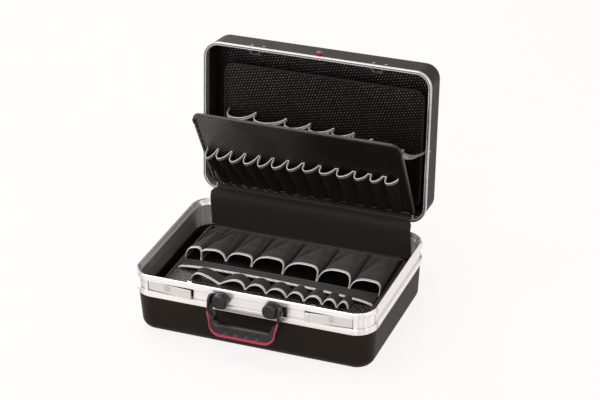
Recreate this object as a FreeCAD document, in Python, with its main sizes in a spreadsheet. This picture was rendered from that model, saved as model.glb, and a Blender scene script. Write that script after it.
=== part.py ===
import FreeCAD, Part
import math
import os
import Sketcher
from FreeCAD import Placement, Rotation, Vector

# Hard tool case: two ABS shells in aluminium frames, hinged at the back, two rocker locks,
# a swinging handle, and sewn pocket rows on three boards.
# Right is +X seen from the front, the back is +Y, up is +Z, and the case stands on Z = 0.
# It is modelled as it stands open: lid on its stop, upper board tilted forward, locks unlocked.

# Driving sizes in millimetres and degrees

SIZES = {
    "Base shell and frame": {
        "BaseLength": 480, "BaseDepth": 326, "CornerRadius": 42,
        "FrameFoot": 81.3, "FrameHeight": 44.7, "LipEase": 0.8,
        "LowerLipNose": 10, "LowerLipHeight": 11.7, "BandRecess": 4, "BandFoot": 12.2,
        "BandHeight": 20.5, "UpperLipFoot": 33.2, "UpperLipNose": 41.2, "CrestInset": 3,
        "SeatInset": 5, "SeatDrop": 2, "SeatMidInset": 7, "SeatMidHeight": 36.7,
        "MouthInset": 9.5, "MouthFoot": 33.2, "SkirtDrop": 11.3, "SkirtWall": 1.8,
        "LipWall": 2.6, "ShellSlotHeight": 9.5, "ChamberInset": 5.6,
        "ChamberWidth": 2.3, "ChamberGap": 1.6,
        "ShellWall": 3.5, "ShellDraft": 3.5, "ShellSlotClearance": 0.2,
        "ShellEdgeClearance": 0.5, "BaseEdgeRadius": 20,
        "ReliefDepth": 2, "ReliefMargin": 83, "ReliefSideMargin": 68, "ReliefReach": 38,
    },
    "Lid shell and frame": {
        "LidInset": 8, "LidRearInset": 11, "LidCornerRadius": 32, "LidSeatGap": 0.4,
        "LidHeight": 76, "LidShellInset": 1.6, "LidWall": 2.4, "LidDraft": 1.5,
        "LidEdgeRadius": 16, "LidFrameEase": 0.6, "LidFrameFace": 6,
        "LidFrameWidth": 5.8, "LidSlotWidth": 2.9, "LidSlotFoot": 4,
        "LidFrameSkirt": 16, "LidShellGap": 0.2, "LidLinerThickness": 2,
        "LidLinerInset": 21, "LidLinerRadius": 14, "SealWidth": 1.4, "SealDepth": 1.2,
    },
    "Hinges": {
        "HingeBack": 7.7, "HingeDrop": 3, "LidOpenAngle": 95.73, "HingeMargin": 100,
        "HingeWidth": 72, "KnuckleRadius": 4.5, "KnuckleGap": 0.3, "PinRadius": 1.75,
        "PinClearance": 0.06, "LeafThickness": 2, "LeafHeight": 14.5, "LeafGap": 0.3,
        "LeafWebGap": 2.5,
        "LidLeafHeight": 26, "LidLeafThickness": 1.8,
        "HeadRadius": 3.2, "HeadHeight": 1.2, "HingeRivetShare": 0.36, "Overrun": 1,
    },
    "Locks": {
        "LockMargin": 83, "LockLength": 90.8, "LockHeight": 19.3, "LockPlate": 2.2,
        "LockEndRadius": 2.5, "LockPivotOffset": 5, "LockPivotDepth": 6.5,
        "LockOpenAngle": 6, "LockProud": 0.4, "LockTabLength": 8.5, "LockTabRise": 2.2,
        "WindowEndGap": 1.4, "WindowEdgeGap": 0.8, "WindowSeat": 0.4,
        "HousingClearance": 0.3,
        "HousingWall": 1.5, "HousingDepth": 18, "LockPinRadius": 1.5,
        "LockPinClearance": 0.06, "LugRadius": 3.5, "LugThickness": 2.4, "LugGap": 0.4,
        "HookMargin": 12.4, "HookWidth": 10, "HookThickness": 1.5, "HookHeight": 22.4,
        "HookNose": 2.2, "HookNoseHeight": 2.2, "HookFoot": 15.8, "HookSlotLength": 16,
        "HookSlotFront": 6, "HookSlotWidth": 8.2, "PlugOffset": 5.5, "PlugRadius": 5.6,
        "PlugClearance": 0.08,
        "PlugLength": 9, "PlugProud": 0.5, "PlugRimRadius": 6.6, "PlugRim": 0.6,
        "KeySlotLength": 5, "KeySlotWidth": 1.1, "KeySlotDepth": 4, "CamLength": 6.5,
        "CamWidth": 4, "CamThickness": 1.4, "SpringWidth": 6, "SpringThickness": 0.4,
        "SpringRise": 3,
    },
    "Strikers and stud": {
        "StrikerLength": 34, "StrikerThickness": 1.2, "StrikerHeight": 19, "StrikerTab": 22,
        "StrikerFlange": 7.8, "StrikerSlotLength": 13, "StrikerSlotWidth": 5.6,
        "StrikerSlotHeight": 6, "RivetSpacing": 24.6, "RivetHeight": 15.2,
        "RivetHeadRadius": 3, "RivetHead": 1.1,
        "StudHeight": 19, "StudRadius": 5.6, "StudProud": 6.5, "StudWasher": 6.6,
        "StudWasherThickness": 0.8,
    },
    "Handle": {
        "HandleHalfWidth": 72, "HandleTaper": 6, "HandleReach": 63, "HandleCorner": 23,
        "HandleArm": 9.5, "HandleEar": 5.5, "HandleEarRadius": 12.2,
        "HandleShoulder": 20, "HandleBar": 18, "HandleInnerCorner": 12,
        "HandleFront": 11.6, "HandleBack": 11.4,
        "HandleAngle": 11, "HandleAxisFront": 14, "HandleAxisRise": 14.5,
        "HandlePinRadius": 2.5, "HandlePinClearance": 0.06, "HandlePinHead": 4.6,
        "HandlePinHeadHeight": 1.6, "HandlePinReach": 14, "AccentStart": 17,
        "AccentWidth": 4.6, "AccentDepth": 2.4, "DimpleSpacing": 20,
        "DimpleRadius": 11, "DimpleDepth": 2.4, "DimpleCount": 4,
        "MountBase": 36, "MountBossWidth": 31,
        "MountBossHeight": 27, "MountBossRadius": 12.5, "MountBossFront": 8,
        "MountGap": 2.2, "MountEdge": 6.5, "MountFootRadius": 5,
    },
    "Boards": {
        "BoardThickness": 3, "BoardBead": 5, "BoardBeadHeight": 2.6, "BoardRadius": 20,
        "BoardEase": 1.1, "BaseBoardMargin": 32, "BaseBoardEnds": 13,
        "BaseBoardDrop": 12.3, "BaseBoardShift": 3, "PostRadius": 9, "PostInset": 32,
        "PostFlange": 14, "PostFlangeHeight": 2.5,
        "BackBoardMargin": 33, "BackBoardRise": 47.5, "BackBoardFront": 61.5,
        "BackBoardRear": 22, "BackPostRadius": 5,
        "SwingBoardMargin": 29.2, "SwingBoardFront": 83.5, "SwingPivotRear": 22.5,
        "SwingPivotRise": 10.3, "SwingAngle": 31.9, "SwingFoot": 2.5,
        "SwingPinRadius": 1.5, "SwingPinClearance": 0.06, "SwingBarrelRadius": 2.9,
        "SwingBarrelInset": 8.8, "SwingBarrelLength": 14, "SwingPinLength": 12,
        "SwingBracketThickness": 3, "SwingBracketGap": 0.8, "SwingBracketSeat": 0.9,
        "SwingNotch": 5.2,
        "ClipLength": 12, "ClipWidth": 5, "ClipThickness": 0.8,
    },
    "Pockets": {
        "ClothThickness": 1.2, "ClothGap": 0.3, "SeamWidth": 3.2,
        "LargePocketDepth": 128, "LargePocketRear": 21, "LargePocketHeight": 29,
        "FlatPocketDepth": 35, "FlatPocketGap": 6, "FlatPocketHeight": 11,
        "FlatPocketMargin": 40, "LoopGap": 4, "LoopDepth": 27, "LoopHeight": 13,
        "BackPocketDepth": 129, "BackPocketHeight": 19,
        "SwingPocketDepth": 105, "SwingPocketHeight": 19, "PocketTail": 2.2,
        "PocketEndMargin": 10, "PocketTaperShare": 0.97,
    },
    "Hinge cover and straps": {
        "CoverMargin": 31, "CoverThickness": 1, "CoverRise": 3.5, "CoverRear": 12,
        "CoverBulge": 4, "CoverTuck": 5.5, "CoverTuckMargin": 39,
        "StrapWidth": 12, "StrapThickness": 1.4,
        "StrapSag": 16, "StrapAnchorRear": 158.5, "StrapAnchorRise": 12,
        "StrapBoardDrop": 22, "StrapRivetRadius": 3, "StrapRivetHeight": 1.2,
        "StrapRivetSink": 0.1,
    },
}

# Straight runs that stand for the round of one pocket's arch
ARCH_RUNS = 6

# The share of an edge's direction that counts as running along an axis
NEARLY_ALONG_SHARE = 0.9

# Seams of the pocket rows across their boards, as shares of half the board's length
LARGE_SEAM_SHARES = (-0.965, -0.81, -0.585, -0.325, -0.005, 0.34, 0.665, 0.965)
LOOP_SEAM_SHARES = (-0.765, -0.48, -0.22, -0.015, 0.185, 0.355, 0.53, 0.67, 0.785)
BACK_SEAM_SHARES = (-0.95, -0.675, -0.365, -0.12, 0.115, 0.32, 0.5, 0.68, 0.81, 0.95)
SWING_SEAM_SHARES = (-0.945, -0.84, -0.705, -0.57, -0.43, -0.295, -0.15, 0.0,
                     0.16, 0.325, 0.49, 0.64, 0.78, 0.93)

# Heights of the large pockets, as shares of the row's height: the middle ones stand open most
LARGE_HEIGHT_SHARES = (0.82, 0.81, 0.72, 1.0, 1.1, 1.18, 1.05)


class Size:
    """A number that remembers the sheet formula it comes from."""

    def __init__(self, value, text):
        self.value = value
        self.text = text

    def join(self, other, sign, result):
        return Size(result, "(%s %s %s)" % (self.text, sign, other.text))

    def __add__(self, other):
        other = as_size(other)
        return self.join(other, "+", self.value + other.value)

    def __sub__(self, other):
        other = as_size(other)
        return self.join(other, "-", self.value - other.value)

    def __mul__(self, other):
        other = as_size(other)
        return self.join(other, "*", self.value * other.value)

    def __truediv__(self, other):
        other = as_size(other)
        return self.join(other, "/", self.value / other.value)

    def __radd__(self, other):
        return as_size(other) + self

    def __rsub__(self, other):
        return as_size(other) - self

    def __rmul__(self, other):
        return as_size(other) * self

    def __neg__(self):
        return Size(-self.value, "(0 - %s)" % self.text)


def as_size(number):
    """The number as a Size, so that plain counts and zero mix with sheet values."""
    if isinstance(number, Size):
        return number
    return Size(float(number), repr(float(number)))


class SheetValues:
    """The spreadsheet, read back by alias."""

    def __init__(self, document):
        self.sheet = document.addObject("Spreadsheet::Sheet", "Sizes")
        row = 1
        self.values = {}
        for heading, entries in SIZES.items():
            self.sheet.set("A%d" % row, heading)
            row += 1
            for alias, value in entries.items():
                self.sheet.set("A%d" % row, alias)
                self.sheet.set("B%d" % row, str(value))
                self.sheet.setAlias("B%d" % row, alias)
                self.values[alias] = float(value)
                row += 1

    def __getattr__(self, alias):
        return Size(self.values[alias], "Sizes.%s" % alias)


doc = FreeCAD.newDocument("ToolCase")
S = SheetValues(doc)
doc.recompute()

# Small tools for bound sketches and solids


def bind(thing, prop, size):
    thing.setExpression(prop, as_size(size).text)


def origin_plane(body, role):
    return next(item for item in body.Origin.OriginFeatures if item.Role == role)


def arc_between(start, end, radius, turn):
    """The arc from start to end that bulges to the right of the way it runs, for turn 1."""
    chord = end - start
    middle = (start + end) * 0.5
    rise = math.sqrt(max(radius * radius - chord.Length * chord.Length / 4, 0.0))
    left = Vector(-chord.y, chord.x, 0).normalize()
    centre = middle + left * (rise * turn)
    first = math.atan2(start.y - centre.y, start.x - centre.x)
    last = math.atan2(end.y - centre.y, end.x - centre.x)
    circle = Part.Circle(centre, Vector(0, 0, 1), radius)
    if turn > 0:
        return Part.ArcOfCircle(circle, first, last if last > first else last + 2 * math.pi)
    return Part.ArcOfCircle(circle, last, first if first > last else first + 2 * math.pi)


def draw(sketch, outline):
    """Add one closed outline of (x, y) or (x, y, radius, turn) corners, bound to the sheet."""
    base = sketch.GeometryCount
    spots = [Vector(as_size(c[0]).value, as_size(c[1]).value, 0) for c in outline]
    shapes, starts = [], []
    for index, corner in enumerate(outline):
        end = spots[(index + 1) % len(spots)]
        if len(corner) == 2:
            shapes.append(Part.LineSegment(spots[index], end))
            starts.append((1, 2))
        else:
            shapes.append(arc_between(spots[index], end, as_size(corner[2]).value, corner[3]))
            starts.append((1, 2) if corner[3] > 0 else (2, 1))
    sketch.addGeometry(shapes, False)
    rules, bound = [], []
    for index, corner in enumerate(outline):
        after = (index + 1) % len(outline)
        rules.append(Sketcher.Constraint(
            "Coincident", base + index, starts[index][1], base + after, starts[after][0]))
    for index, corner in enumerate(outline):
        for kind, size in (("DistanceX", corner[0]), ("DistanceY", corner[1])):
            bound.append((len(rules), as_size(size)))
            rules.append(Sketcher.Constraint(
                kind, base + index, starts[index][0], as_size(size).value))
        if corner[2:]:
            bound.append((len(rules), as_size(corner[2])))
            rules.append(Sketcher.Constraint("Radius", base + index, as_size(corner[2]).value))
    first = sketch.ConstraintCount
    sketch.addConstraint(rules)
    for index, size in bound:
        if "Sizes." in size.text:
            sketch.setExpression("Constraints[%d]" % (first + index), size.text)


def rounded(left, right, low, high, radius):
    """Corners of a rectangle with round corners, run anticlockwise."""
    return [
        (left + radius, low), (right - radius, low, radius, 1),
        (right, low + radius), (right, high - radius, radius, 1),
        (right - radius, high), (left + radius, high, radius, 1),
        (left, high - radius), (left, low + radius, radius, 1),
    ]


def add_sketch(body, role, outlines, level):
    """A sketch on an origin plane of the body, lifted along the plane's normal."""
    sketch = body.newObject("Sketcher::SketchObject", body.Name + "_outline")
    sketch.AttachmentSupport = [(origin_plane(body, role), "")]
    sketch.MapMode = "FlatFace"
    bind(sketch, "AttachmentOffset.Base.z", level)
    for outline in outlines:
        draw(sketch, outline)
    return sketch


def new_body(name):
    body = doc.addObject("PartDesign::Body", name)
    body.Label = name
    return body


def add_pad(body, role, outlines, low, high, draft=None):
    """A pad from low to high along the plane's normal, drawn in by the draft angle."""
    sketch = add_sketch(body, role, outlines, low)
    pad = body.newObject("PartDesign::Pad", body.Name + "_pad")
    pad.Profile = sketch
    bind(pad, "Length", high - low)
    if draft is not None:
        bind(pad, "TaperAngle", -draft)
    doc.recompute()
    return pad


def add_drop(body, outlines, high, low, draft, pocket=False):
    """A pad or a pocket that runs down from high to low and draws in by the draft angle."""
    sketch = add_sketch(body, "XY_Plane", outlines, high)
    kind = "PartDesign::Pocket" if pocket else "PartDesign::Pad"
    feature = body.newObject(kind, body.Name + "_drop")
    feature.Profile = sketch
    bind(feature, "Length", high - low)
    bind(feature, "TaperAngle", -draft)
    feature.Reversed = not pocket
    doc.recompute()
    return feature


def add_cut(body, role, outlines, low, high):
    """A pocket between two levels along the plane's normal."""
    sketch = add_sketch(body, role, outlines, high)
    cut = body.newObject("PartDesign::Pocket", body.Name + "_cut")
    cut.Profile = sketch
    bind(cut, "Length", high - low)
    doc.recompute()
    return cut


def soften(body, radius, test):
    """Fillet the edges of the body that pass the test."""
    tip = body.Tip
    edges = ["Edge%d" % (i + 1) for i, e in enumerate(tip.Shape.Edges) if test(e)]
    fillet = body.newObject("PartDesign::Fillet", body.Name + "_fillet")
    fillet.Base = (tip, edges)
    bind(fillet, "Radius", radius)
    doc.recompute()
    return fillet


def prism(name, role, outlines, low, high):
    """One body, padded from low to high along the plane's normal."""
    body = new_body(name)
    add_pad(body, role, outlines, low, high)
    return body


def plate_along_y(name, outlines, front, back):
    """One body drawn in X and Z and padded from front to back in Y."""
    return prism(name, "XZ_Plane", outlines, -as_size(back), -as_size(front))


def block(name, x, y, z):
    """A box between pairs of X, Y and Z limits."""
    box = doc.addObject("Part::Box", name)
    box.Label = name
    for prop, pair in (("Length", x), ("Width", y), ("Height", z)):
        bind(box, prop, as_size(pair[1]) - pair[0])
    for axis, pair in (("x", x), ("y", y), ("z", z)):
        bind(box, "Placement.Base.%s" % axis, pair[0])
    return box


TURNS = {"x": Rotation(Vector(0, 1, 0), 90), "y": Rotation(Vector(1, 0, 0), -90),
         "z": Rotation()}


def rod(name, axis, centre, radius, low, high):
    """A cylinder along an axis, from low to high on it, through the other two of centre."""
    cylinder = doc.addObject("Part::Cylinder", name)
    cylinder.Label = name
    cylinder.Placement = Placement(Vector(), TURNS[axis])
    bind(cylinder, "Radius", radius)
    bind(cylinder, "Height", as_size(high) - low)
    for letter, size in zip("xyz", centre):
        bind(cylinder, "Placement.Base.%s" % letter, low if letter == axis else size)
    return cylinder


def fuse(name, pieces):
    joined = doc.addObject("Part::MultiFuse", name)
    joined.Label = name
    joined.Shapes = pieces
    doc.recompute()
    return joined


def cut(name, piece, tools):
    """The piece less the tools."""
    tool = tools[0] if len(tools) == 1 else fuse(name + "_tools", tools)
    result = doc.addObject("Part::Cut", name)
    result.Label = name
    result.Base = piece
    result.Tool = tool
    doc.recompute()
    return result


def common(name, first, second):
    result = doc.addObject("Part::Common", name)
    result.Label = name
    result.Base = first
    result.Tool = second
    doc.recompute()
    return result


def round_edges(name, piece, radius, test):
    """A Part fillet on the edges that pass the test."""
    result = doc.addObject("Part::Fillet", name)
    result.Label = name
    result.Base = piece
    result.Edges = [(i + 1, radius.value, radius.value)
                    for i, e in enumerate(piece.Shape.Edges) if test(e)]
    doc.recompute()
    return result


def group(name, pieces):
    """Separate solids kept as one node."""
    result = doc.addObject("Part::Compound", name)
    result.Label = name
    result.Links = pieces
    doc.recompute()
    return result


def feature(name, shape, placement=Placement()):
    result = doc.addObject("Part::Feature", name)
    result.Label = name
    result.Shape = shape
    result.Placement = placement
    return result


PARTS = []


def keep(piece, placement=None):
    """Note a finished sub-part, and set it in its place in the open case."""
    if placement is not None:
        piece.Placement = placement.multiply(piece.Placement)
    PARTS.append(piece)
    return piece


def along(edge, axis):
    direction = edge.tangentAt(edge.FirstParameter)
    return abs(getattr(direction, axis)) > NEARLY_ALONG_SHARE


# Main levels and places

half_length = S.BaseLength / 2
half_depth = S.BaseDepth / 2
crest = S.FrameFoot + S.FrameHeight
band_low = S.FrameFoot + S.BandFoot
band_high = band_low + S.BandHeight
band_face = -half_depth + S.BandRecess
seat_slope = (S.SeatMidHeight - S.MouthFoot) / (S.MouthInset - S.SeatMidInset)
seat_at_lid = S.MouthFoot + (S.MouthInset - S.LidInset) * seat_slope
rim = S.FrameFoot + seat_at_lid + S.LidSeatGap
hinge_y = half_depth + S.HingeBack
hinge_z = crest - S.HingeDrop
lid_half = half_length - S.LidInset
lid_front = -half_depth + S.LidInset
lid_rear = half_depth - S.LidRearInset
lid_top = rim + S.LidHeight

hinge_line = Vector(0, hinge_y.value, hinge_z.value)
LID = Placement(Vector(), Rotation(Vector(1, 0, 0), -S.LidOpenAngle.value), hinge_line)
lock_centre = half_length - S.LockMargin
lock_hook = lock_centre - S.LockLength / 2 + S.HookMargin
window_length = S.LockLength + S.WindowEndGap * 2
window_height = S.LockHeight + S.WindowEdgeGap * 2
housing_height = S.LockHeight - S.WindowSeat * 2
board_level = S.FrameFoot - S.BaseBoardDrop
base_board_half = half_length - S.BaseBoardMargin
back_board_half = half_length - S.BackBoardMargin
swing_half = half_length - S.SwingBoardMargin
swing_y = half_depth - S.SwingPivotRear
swing_front = -half_depth + S.SwingBoardFront
strap_anchor_y = half_depth - S.StrapAnchorRear
swing_z = rim + S.SwingPivotRise
swing_line = Vector(0, swing_y.value, swing_z.value)
SWING = LID.multiply(
    Placement(Vector(), Rotation(Vector(1, 0, 0), S.SwingAngle.value), swing_line))


# Base shell: drafted ABS tray whose edge stands in the frame's slot

def make_base_shell():
    top = S.FrameFoot + S.ShellSlotHeight - S.ShellEdgeClearance
    solids = []
    for name, wall, floor in (("outside", as_size(0), as_size(0)),
                              ("hollow", S.ShellWall, S.ShellWall)):
        inset = S.LipWall + S.ShellSlotClearance + wall
        body = new_body("base_shell_" + name)
        outline = rounded(-half_length + inset, half_length - inset, -half_depth + inset,
                          half_depth - inset, S.CornerRadius - inset)
        add_drop(body, [outline], top, floor, S.ShellDraft)
        soften(body, S.BaseEdgeRadius - wall, lambda e: e.BoundBox.ZMax < floor.value + 0.01)
        solids.append(body)
    across, deep = half_length - S.ReliefMargin, half_depth - S.ReliefSideMargin
    levels = (-S.Overrun, S.ReliefDepth)
    for side in (-1, 1):
        rows = sorted([half_depth * side, (half_depth - S.ReliefReach) * side],
                      key=lambda size: size.value)
        ends = sorted([half_length * side, (half_length - S.ReliefReach) * side],
                      key=lambda size: size.value)
        solids.append(block("base_relief_y_%d" % (side + 1), (-across, across), rows, levels))
        solids.append(block("base_relief_x_%d" % (side + 1), ends, (-deep, deep), levels))
    doc.recompute()
    return keep(cut("base_shell", solids[0], solids[1:]))


# Base frame: hollow aluminium section bent round the case, with windows for the locks

def frame_section():
    front, foot = -half_depth, S.FrameFoot

    def at(inset, height):
        return (front + inset, foot + height)

    zero = as_size(0)
    skirt = S.MouthInset - S.SkirtWall
    outside = [
        at(S.LipEase, zero), at(S.LipWall, zero), at(S.LipWall, S.ShellSlotHeight),
        at(skirt, S.ShellSlotHeight), at(skirt, -S.SkirtDrop), at(S.MouthInset, -S.SkirtDrop),
        at(S.MouthInset, S.MouthFoot), at(S.SeatMidInset, S.SeatMidHeight),
        at(S.SeatInset, S.FrameHeight - S.SeatDrop), at(S.CrestInset, S.FrameHeight),
        at(zero, S.UpperLipNose), at(zero, S.UpperLipFoot + S.LipEase),
        at(S.LipEase, S.UpperLipFoot), at(S.BandRecess, S.BandFoot + S.BandHeight),
        at(S.BandRecess, S.BandFoot), at(S.LipEase, S.LowerLipHeight),
        at(zero, S.LowerLipNose), at(zero, S.LipEase * 2),
    ]
    outside[9] = outside[9] + (S.CrestInset + S.LipEase, 1)
    low = S.BandFoot + S.ChamberGap
    high = S.BandFoot + S.BandHeight - S.ChamberGap
    far = S.ChamberInset + S.ChamberWidth
    inside = [at(S.ChamberInset, low), at(far, low), at(far, high), at(S.ChamberInset, high)]
    return [outside, inside]


def make_base_frame():
    body = new_body("base_frame")
    path = body.newObject("Sketcher::SketchObject", "base_frame_path")
    path.AttachmentSupport = [(origin_plane(body, "XY_Plane"), "")]
    path.MapMode = "FlatFace"
    corners = rounded(-half_length, half_length, -half_depth, half_depth, S.CornerRadius)
    draw(path, [(as_size(0), -half_depth)] + corners[1:] + corners[:1])
    section = add_sketch(body, "YZ_Plane", frame_section(), as_size(0))
    pipe = body.newObject("PartDesign::AdditivePipe", "base_frame_sweep")
    pipe.Profile = section
    pipe.Spine = (path, [])
    pipe.Mode = "Standard"
    doc.recompute()
    middle = band_low + S.BandHeight / 2
    inner_wall = half_depth - S.MouthInset + S.SkirtWall
    for tall, near in ((window_height, inner_wall),
                       (housing_height, inner_wall - S.SkirtWall - S.Overrun)):
        windows = []
        for side in (-1, 1):
            left = lock_centre * side - window_length / 2
            right = lock_centre * side + window_length / 2
            low, high = middle - tall / 2, middle + tall / 2
            windows.append([(left, low), (right, low), (right, high), (left, high)])
        add_cut(body, "XZ_Plane", windows, near, half_depth + S.Overrun)
    return keep(body)


# Lid shell and frame, drawn closed and then turned open about the hinge line

def lid_rectangle(inset, radius):
    return rounded(-lid_half + inset, lid_half - inset, lid_front + inset, lid_rear - inset,
                   radius)


def make_lid_shell():
    low = rim + S.LidSlotFoot + S.ShellEdgeClearance
    solids = []
    for name, wall in (("outside", as_size(0)), ("hollow", S.LidWall)):
        inset = S.LidShellInset + wall
        body = new_body("lid_shell_" + name)
        high = lid_top - wall
        add_pad(body, "XY_Plane", [lid_rectangle(inset, S.LidCornerRadius - inset)], low, high,
                S.LidDraft)
        soften(body, S.LidEdgeRadius - wall, lambda e: e.BoundBox.ZMin > high.value - 0.01)
        solids.append(body)
    return keep(cut("lid_shell", solids[0], solids[1:]), LID)


def make_lid_frame():
    def at(inset, height):
        return (lid_front + inset, rim + height)

    zero = as_size(0)
    slot_far = S.LidShellInset + S.LidSlotWidth
    face = S.LidFrameFace
    seal = (S.LidFrameWidth - S.SealWidth) / 2
    outline = [
        at(S.LidFrameEase, zero), at(seal, zero), at(seal, S.SealDepth),
        at(seal + S.SealWidth, S.SealDepth), at(seal + S.SealWidth, zero),
        at(S.LidFrameWidth - S.LidFrameEase, zero), at(S.LidFrameWidth, S.LidFrameEase),
        at(S.LidFrameWidth, S.LidFrameSkirt), at(slot_far, S.LidFrameSkirt),
        at(slot_far, S.LidSlotFoot), at(S.LidShellInset - S.LidShellGap, S.LidSlotFoot),
        at(S.LidShellInset - S.LidShellGap, face + S.LidFrameEase),
        at(S.LidFrameEase, face + S.LidFrameEase), at(zero, face), at(zero, S.LidFrameEase),
    ]
    body = new_body("lid_frame")
    path = body.newObject("Sketcher::SketchObject", "lid_frame_path")
    path.AttachmentSupport = [(origin_plane(body, "XY_Plane"), "")]
    path.MapMode = "FlatFace"
    corners = rounded(-lid_half, lid_half, lid_front, lid_rear, S.LidCornerRadius)
    draw(path, [(zero, lid_front)] + corners[1:] + corners[:1])
    section = add_sketch(body, "YZ_Plane", [outline], zero)
    pipe = body.newObject("PartDesign::AdditivePipe", "lid_frame_sweep")
    pipe.Profile = section
    pipe.Spine = (path, [])
    pipe.Mode = "Standard"
    doc.recompute()
    return keep(body, LID)


def make_lid_liner():
    inset = S.LidLinerInset
    outline = lid_rectangle(inset, S.LidLinerRadius)
    high = lid_top - S.LidWall
    return keep(prism("lid_liner", "XY_Plane", [outline], high - S.LidLinerThickness, high), LID)


# Hinges: two cranked pairs of leaves behind the cover, on steel pins

def knuckle_spans(centre):
    """The base's two outer knuckles and the lid's middle one, along X."""
    half, third = S.HingeWidth / 2, S.HingeWidth / 6
    gap = S.KnuckleGap / 2
    outer = [(centre - half, centre - third - gap), (centre + third + gap, centre + half)]
    return outer, (centre - third + gap, centre + third - gap)


def make_hinges():
    base_leaves, lid_leaves, pins, rivets = [], [], [], []
    face = half_depth - S.BandRecess
    near = hinge_y - S.KnuckleRadius
    thick = S.LeafThickness
    foot = band_low + S.LeafGap
    knee = foot + S.LeafHeight
    lid_face = lid_rear - S.LidShellInset
    web_low = crest + S.LeafWebGap
    web_high = web_low + S.LidLeafThickness
    for side in (-1, 1):
        centre = (half_length - S.HingeMargin) * side
        outer, inner = knuckle_spans(centre)
        tag = "left" if side < 0 else "right"
        half = S.HingeWidth / 2
        sheet = prism("base_leaf_%s_sheet" % tag, "YZ_Plane", [[
            (face, foot), (face + thick, foot), (face + thick, knee - thick * 2),
            (near + thick, knee + thick), (near + thick, hinge_z), (near, hinge_z),
            (near, knee + thick * 1.6), (face, knee - thick)]],
            centre - half, centre + half)
        notch = block("base_leaf_%s_notch" % tag,
                      (inner[0] - S.KnuckleGap, inner[1] + S.KnuckleGap),
                      (near - S.KnuckleGap, near + S.KnuckleRadius),
                      (hinge_z - S.KnuckleRadius - S.KnuckleGap, hinge_z + S.KnuckleRadius))
        rolls = [rod("base_knuckle_%s_%d" % (tag, i), "x", (0, hinge_y, hinge_z),
                     S.KnuckleRadius, span[0], span[1]) for i, span in enumerate(outer)]
        leaf = fuse("base_leaf_%s_solid" % tag,
                    [cut("base_leaf_%s_notched" % tag, sheet, [notch])] + rolls)
        bore = rod("base_leaf_%s_bore" % tag, "x", (0, hinge_y, hinge_z),
                   S.PinRadius + S.PinClearance, centre - half - S.Overrun,
                   centre + half + S.Overrun)
        base_leaves.append(cut("base_leaf_%s" % tag, leaf, [bore]))
        upper = prism("lid_leaf_%s_sheet" % tag, "YZ_Plane", [[
            (lid_face, web_low), (hinge_y - thick, web_low), (hinge_y - thick, hinge_z),
            (hinge_y, hinge_z), (hinge_y, web_high),
            (lid_face + thick, web_high), (lid_face + thick, rim + S.LidLeafHeight + thick),
            (lid_face, rim + S.LidLeafHeight + thick)]], centre - half, centre + half)
        gaps = [block("lid_leaf_%s_gap_%d" % (tag, i), (span[0] - S.Overrun, span[1] + S.KnuckleGap)
                      if i == 0 else (span[0] - S.KnuckleGap, span[1] + S.Overrun),
                      (hinge_y - S.KnuckleRadius - S.LeafGap, hinge_y + S.KnuckleRadius),
                      (hinge_z - S.Overrun, hinge_z + S.KnuckleRadius + S.LeafGap))
                for i, span in enumerate(outer)]
        roll = rod("lid_knuckle_%s" % tag, "x", (0, hinge_y, hinge_z), S.KnuckleRadius,
                   inner[0], inner[1])
        solid = fuse("lid_leaf_%s_solid" % tag,
                     [cut("lid_leaf_%s_notched" % tag, upper, gaps), roll])
        bore = rod("lid_leaf_%s_bore" % tag, "x", (0, hinge_y, hinge_z),
                   S.PinRadius + S.PinClearance, centre - half - S.Overrun,
                   centre + half + S.Overrun)
        lid_leaves.append(cut("lid_leaf_%s" % tag, solid, [bore]))
        pins.append(rod("hinge_pin_%s" % tag, "x", (0, hinge_y, hinge_z), S.PinRadius,
                        centre - half, centre + half))
        for step in (-1, 1):
            x = centre + S.HingeWidth * S.HingeRivetShare * step
            rivets.append(rod("hinge_rivet_%s_%d" % (tag, step), "y",
                              (x, 0, foot + S.LeafHeight / 3), S.HeadRadius, face + thick,
                              face + thick + S.HeadHeight))
    keep(group("hinge_leaves_base", base_leaves))
    keep(group("hinge_leaves_lid", lid_leaves), LID)
    keep(group("hinge_pins", pins))
    keep(group("hinge_rivets", rivets))


# Locks: a rocker with its hook, a key plug, a housing behind the band, a pin and a leaf spring

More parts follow.
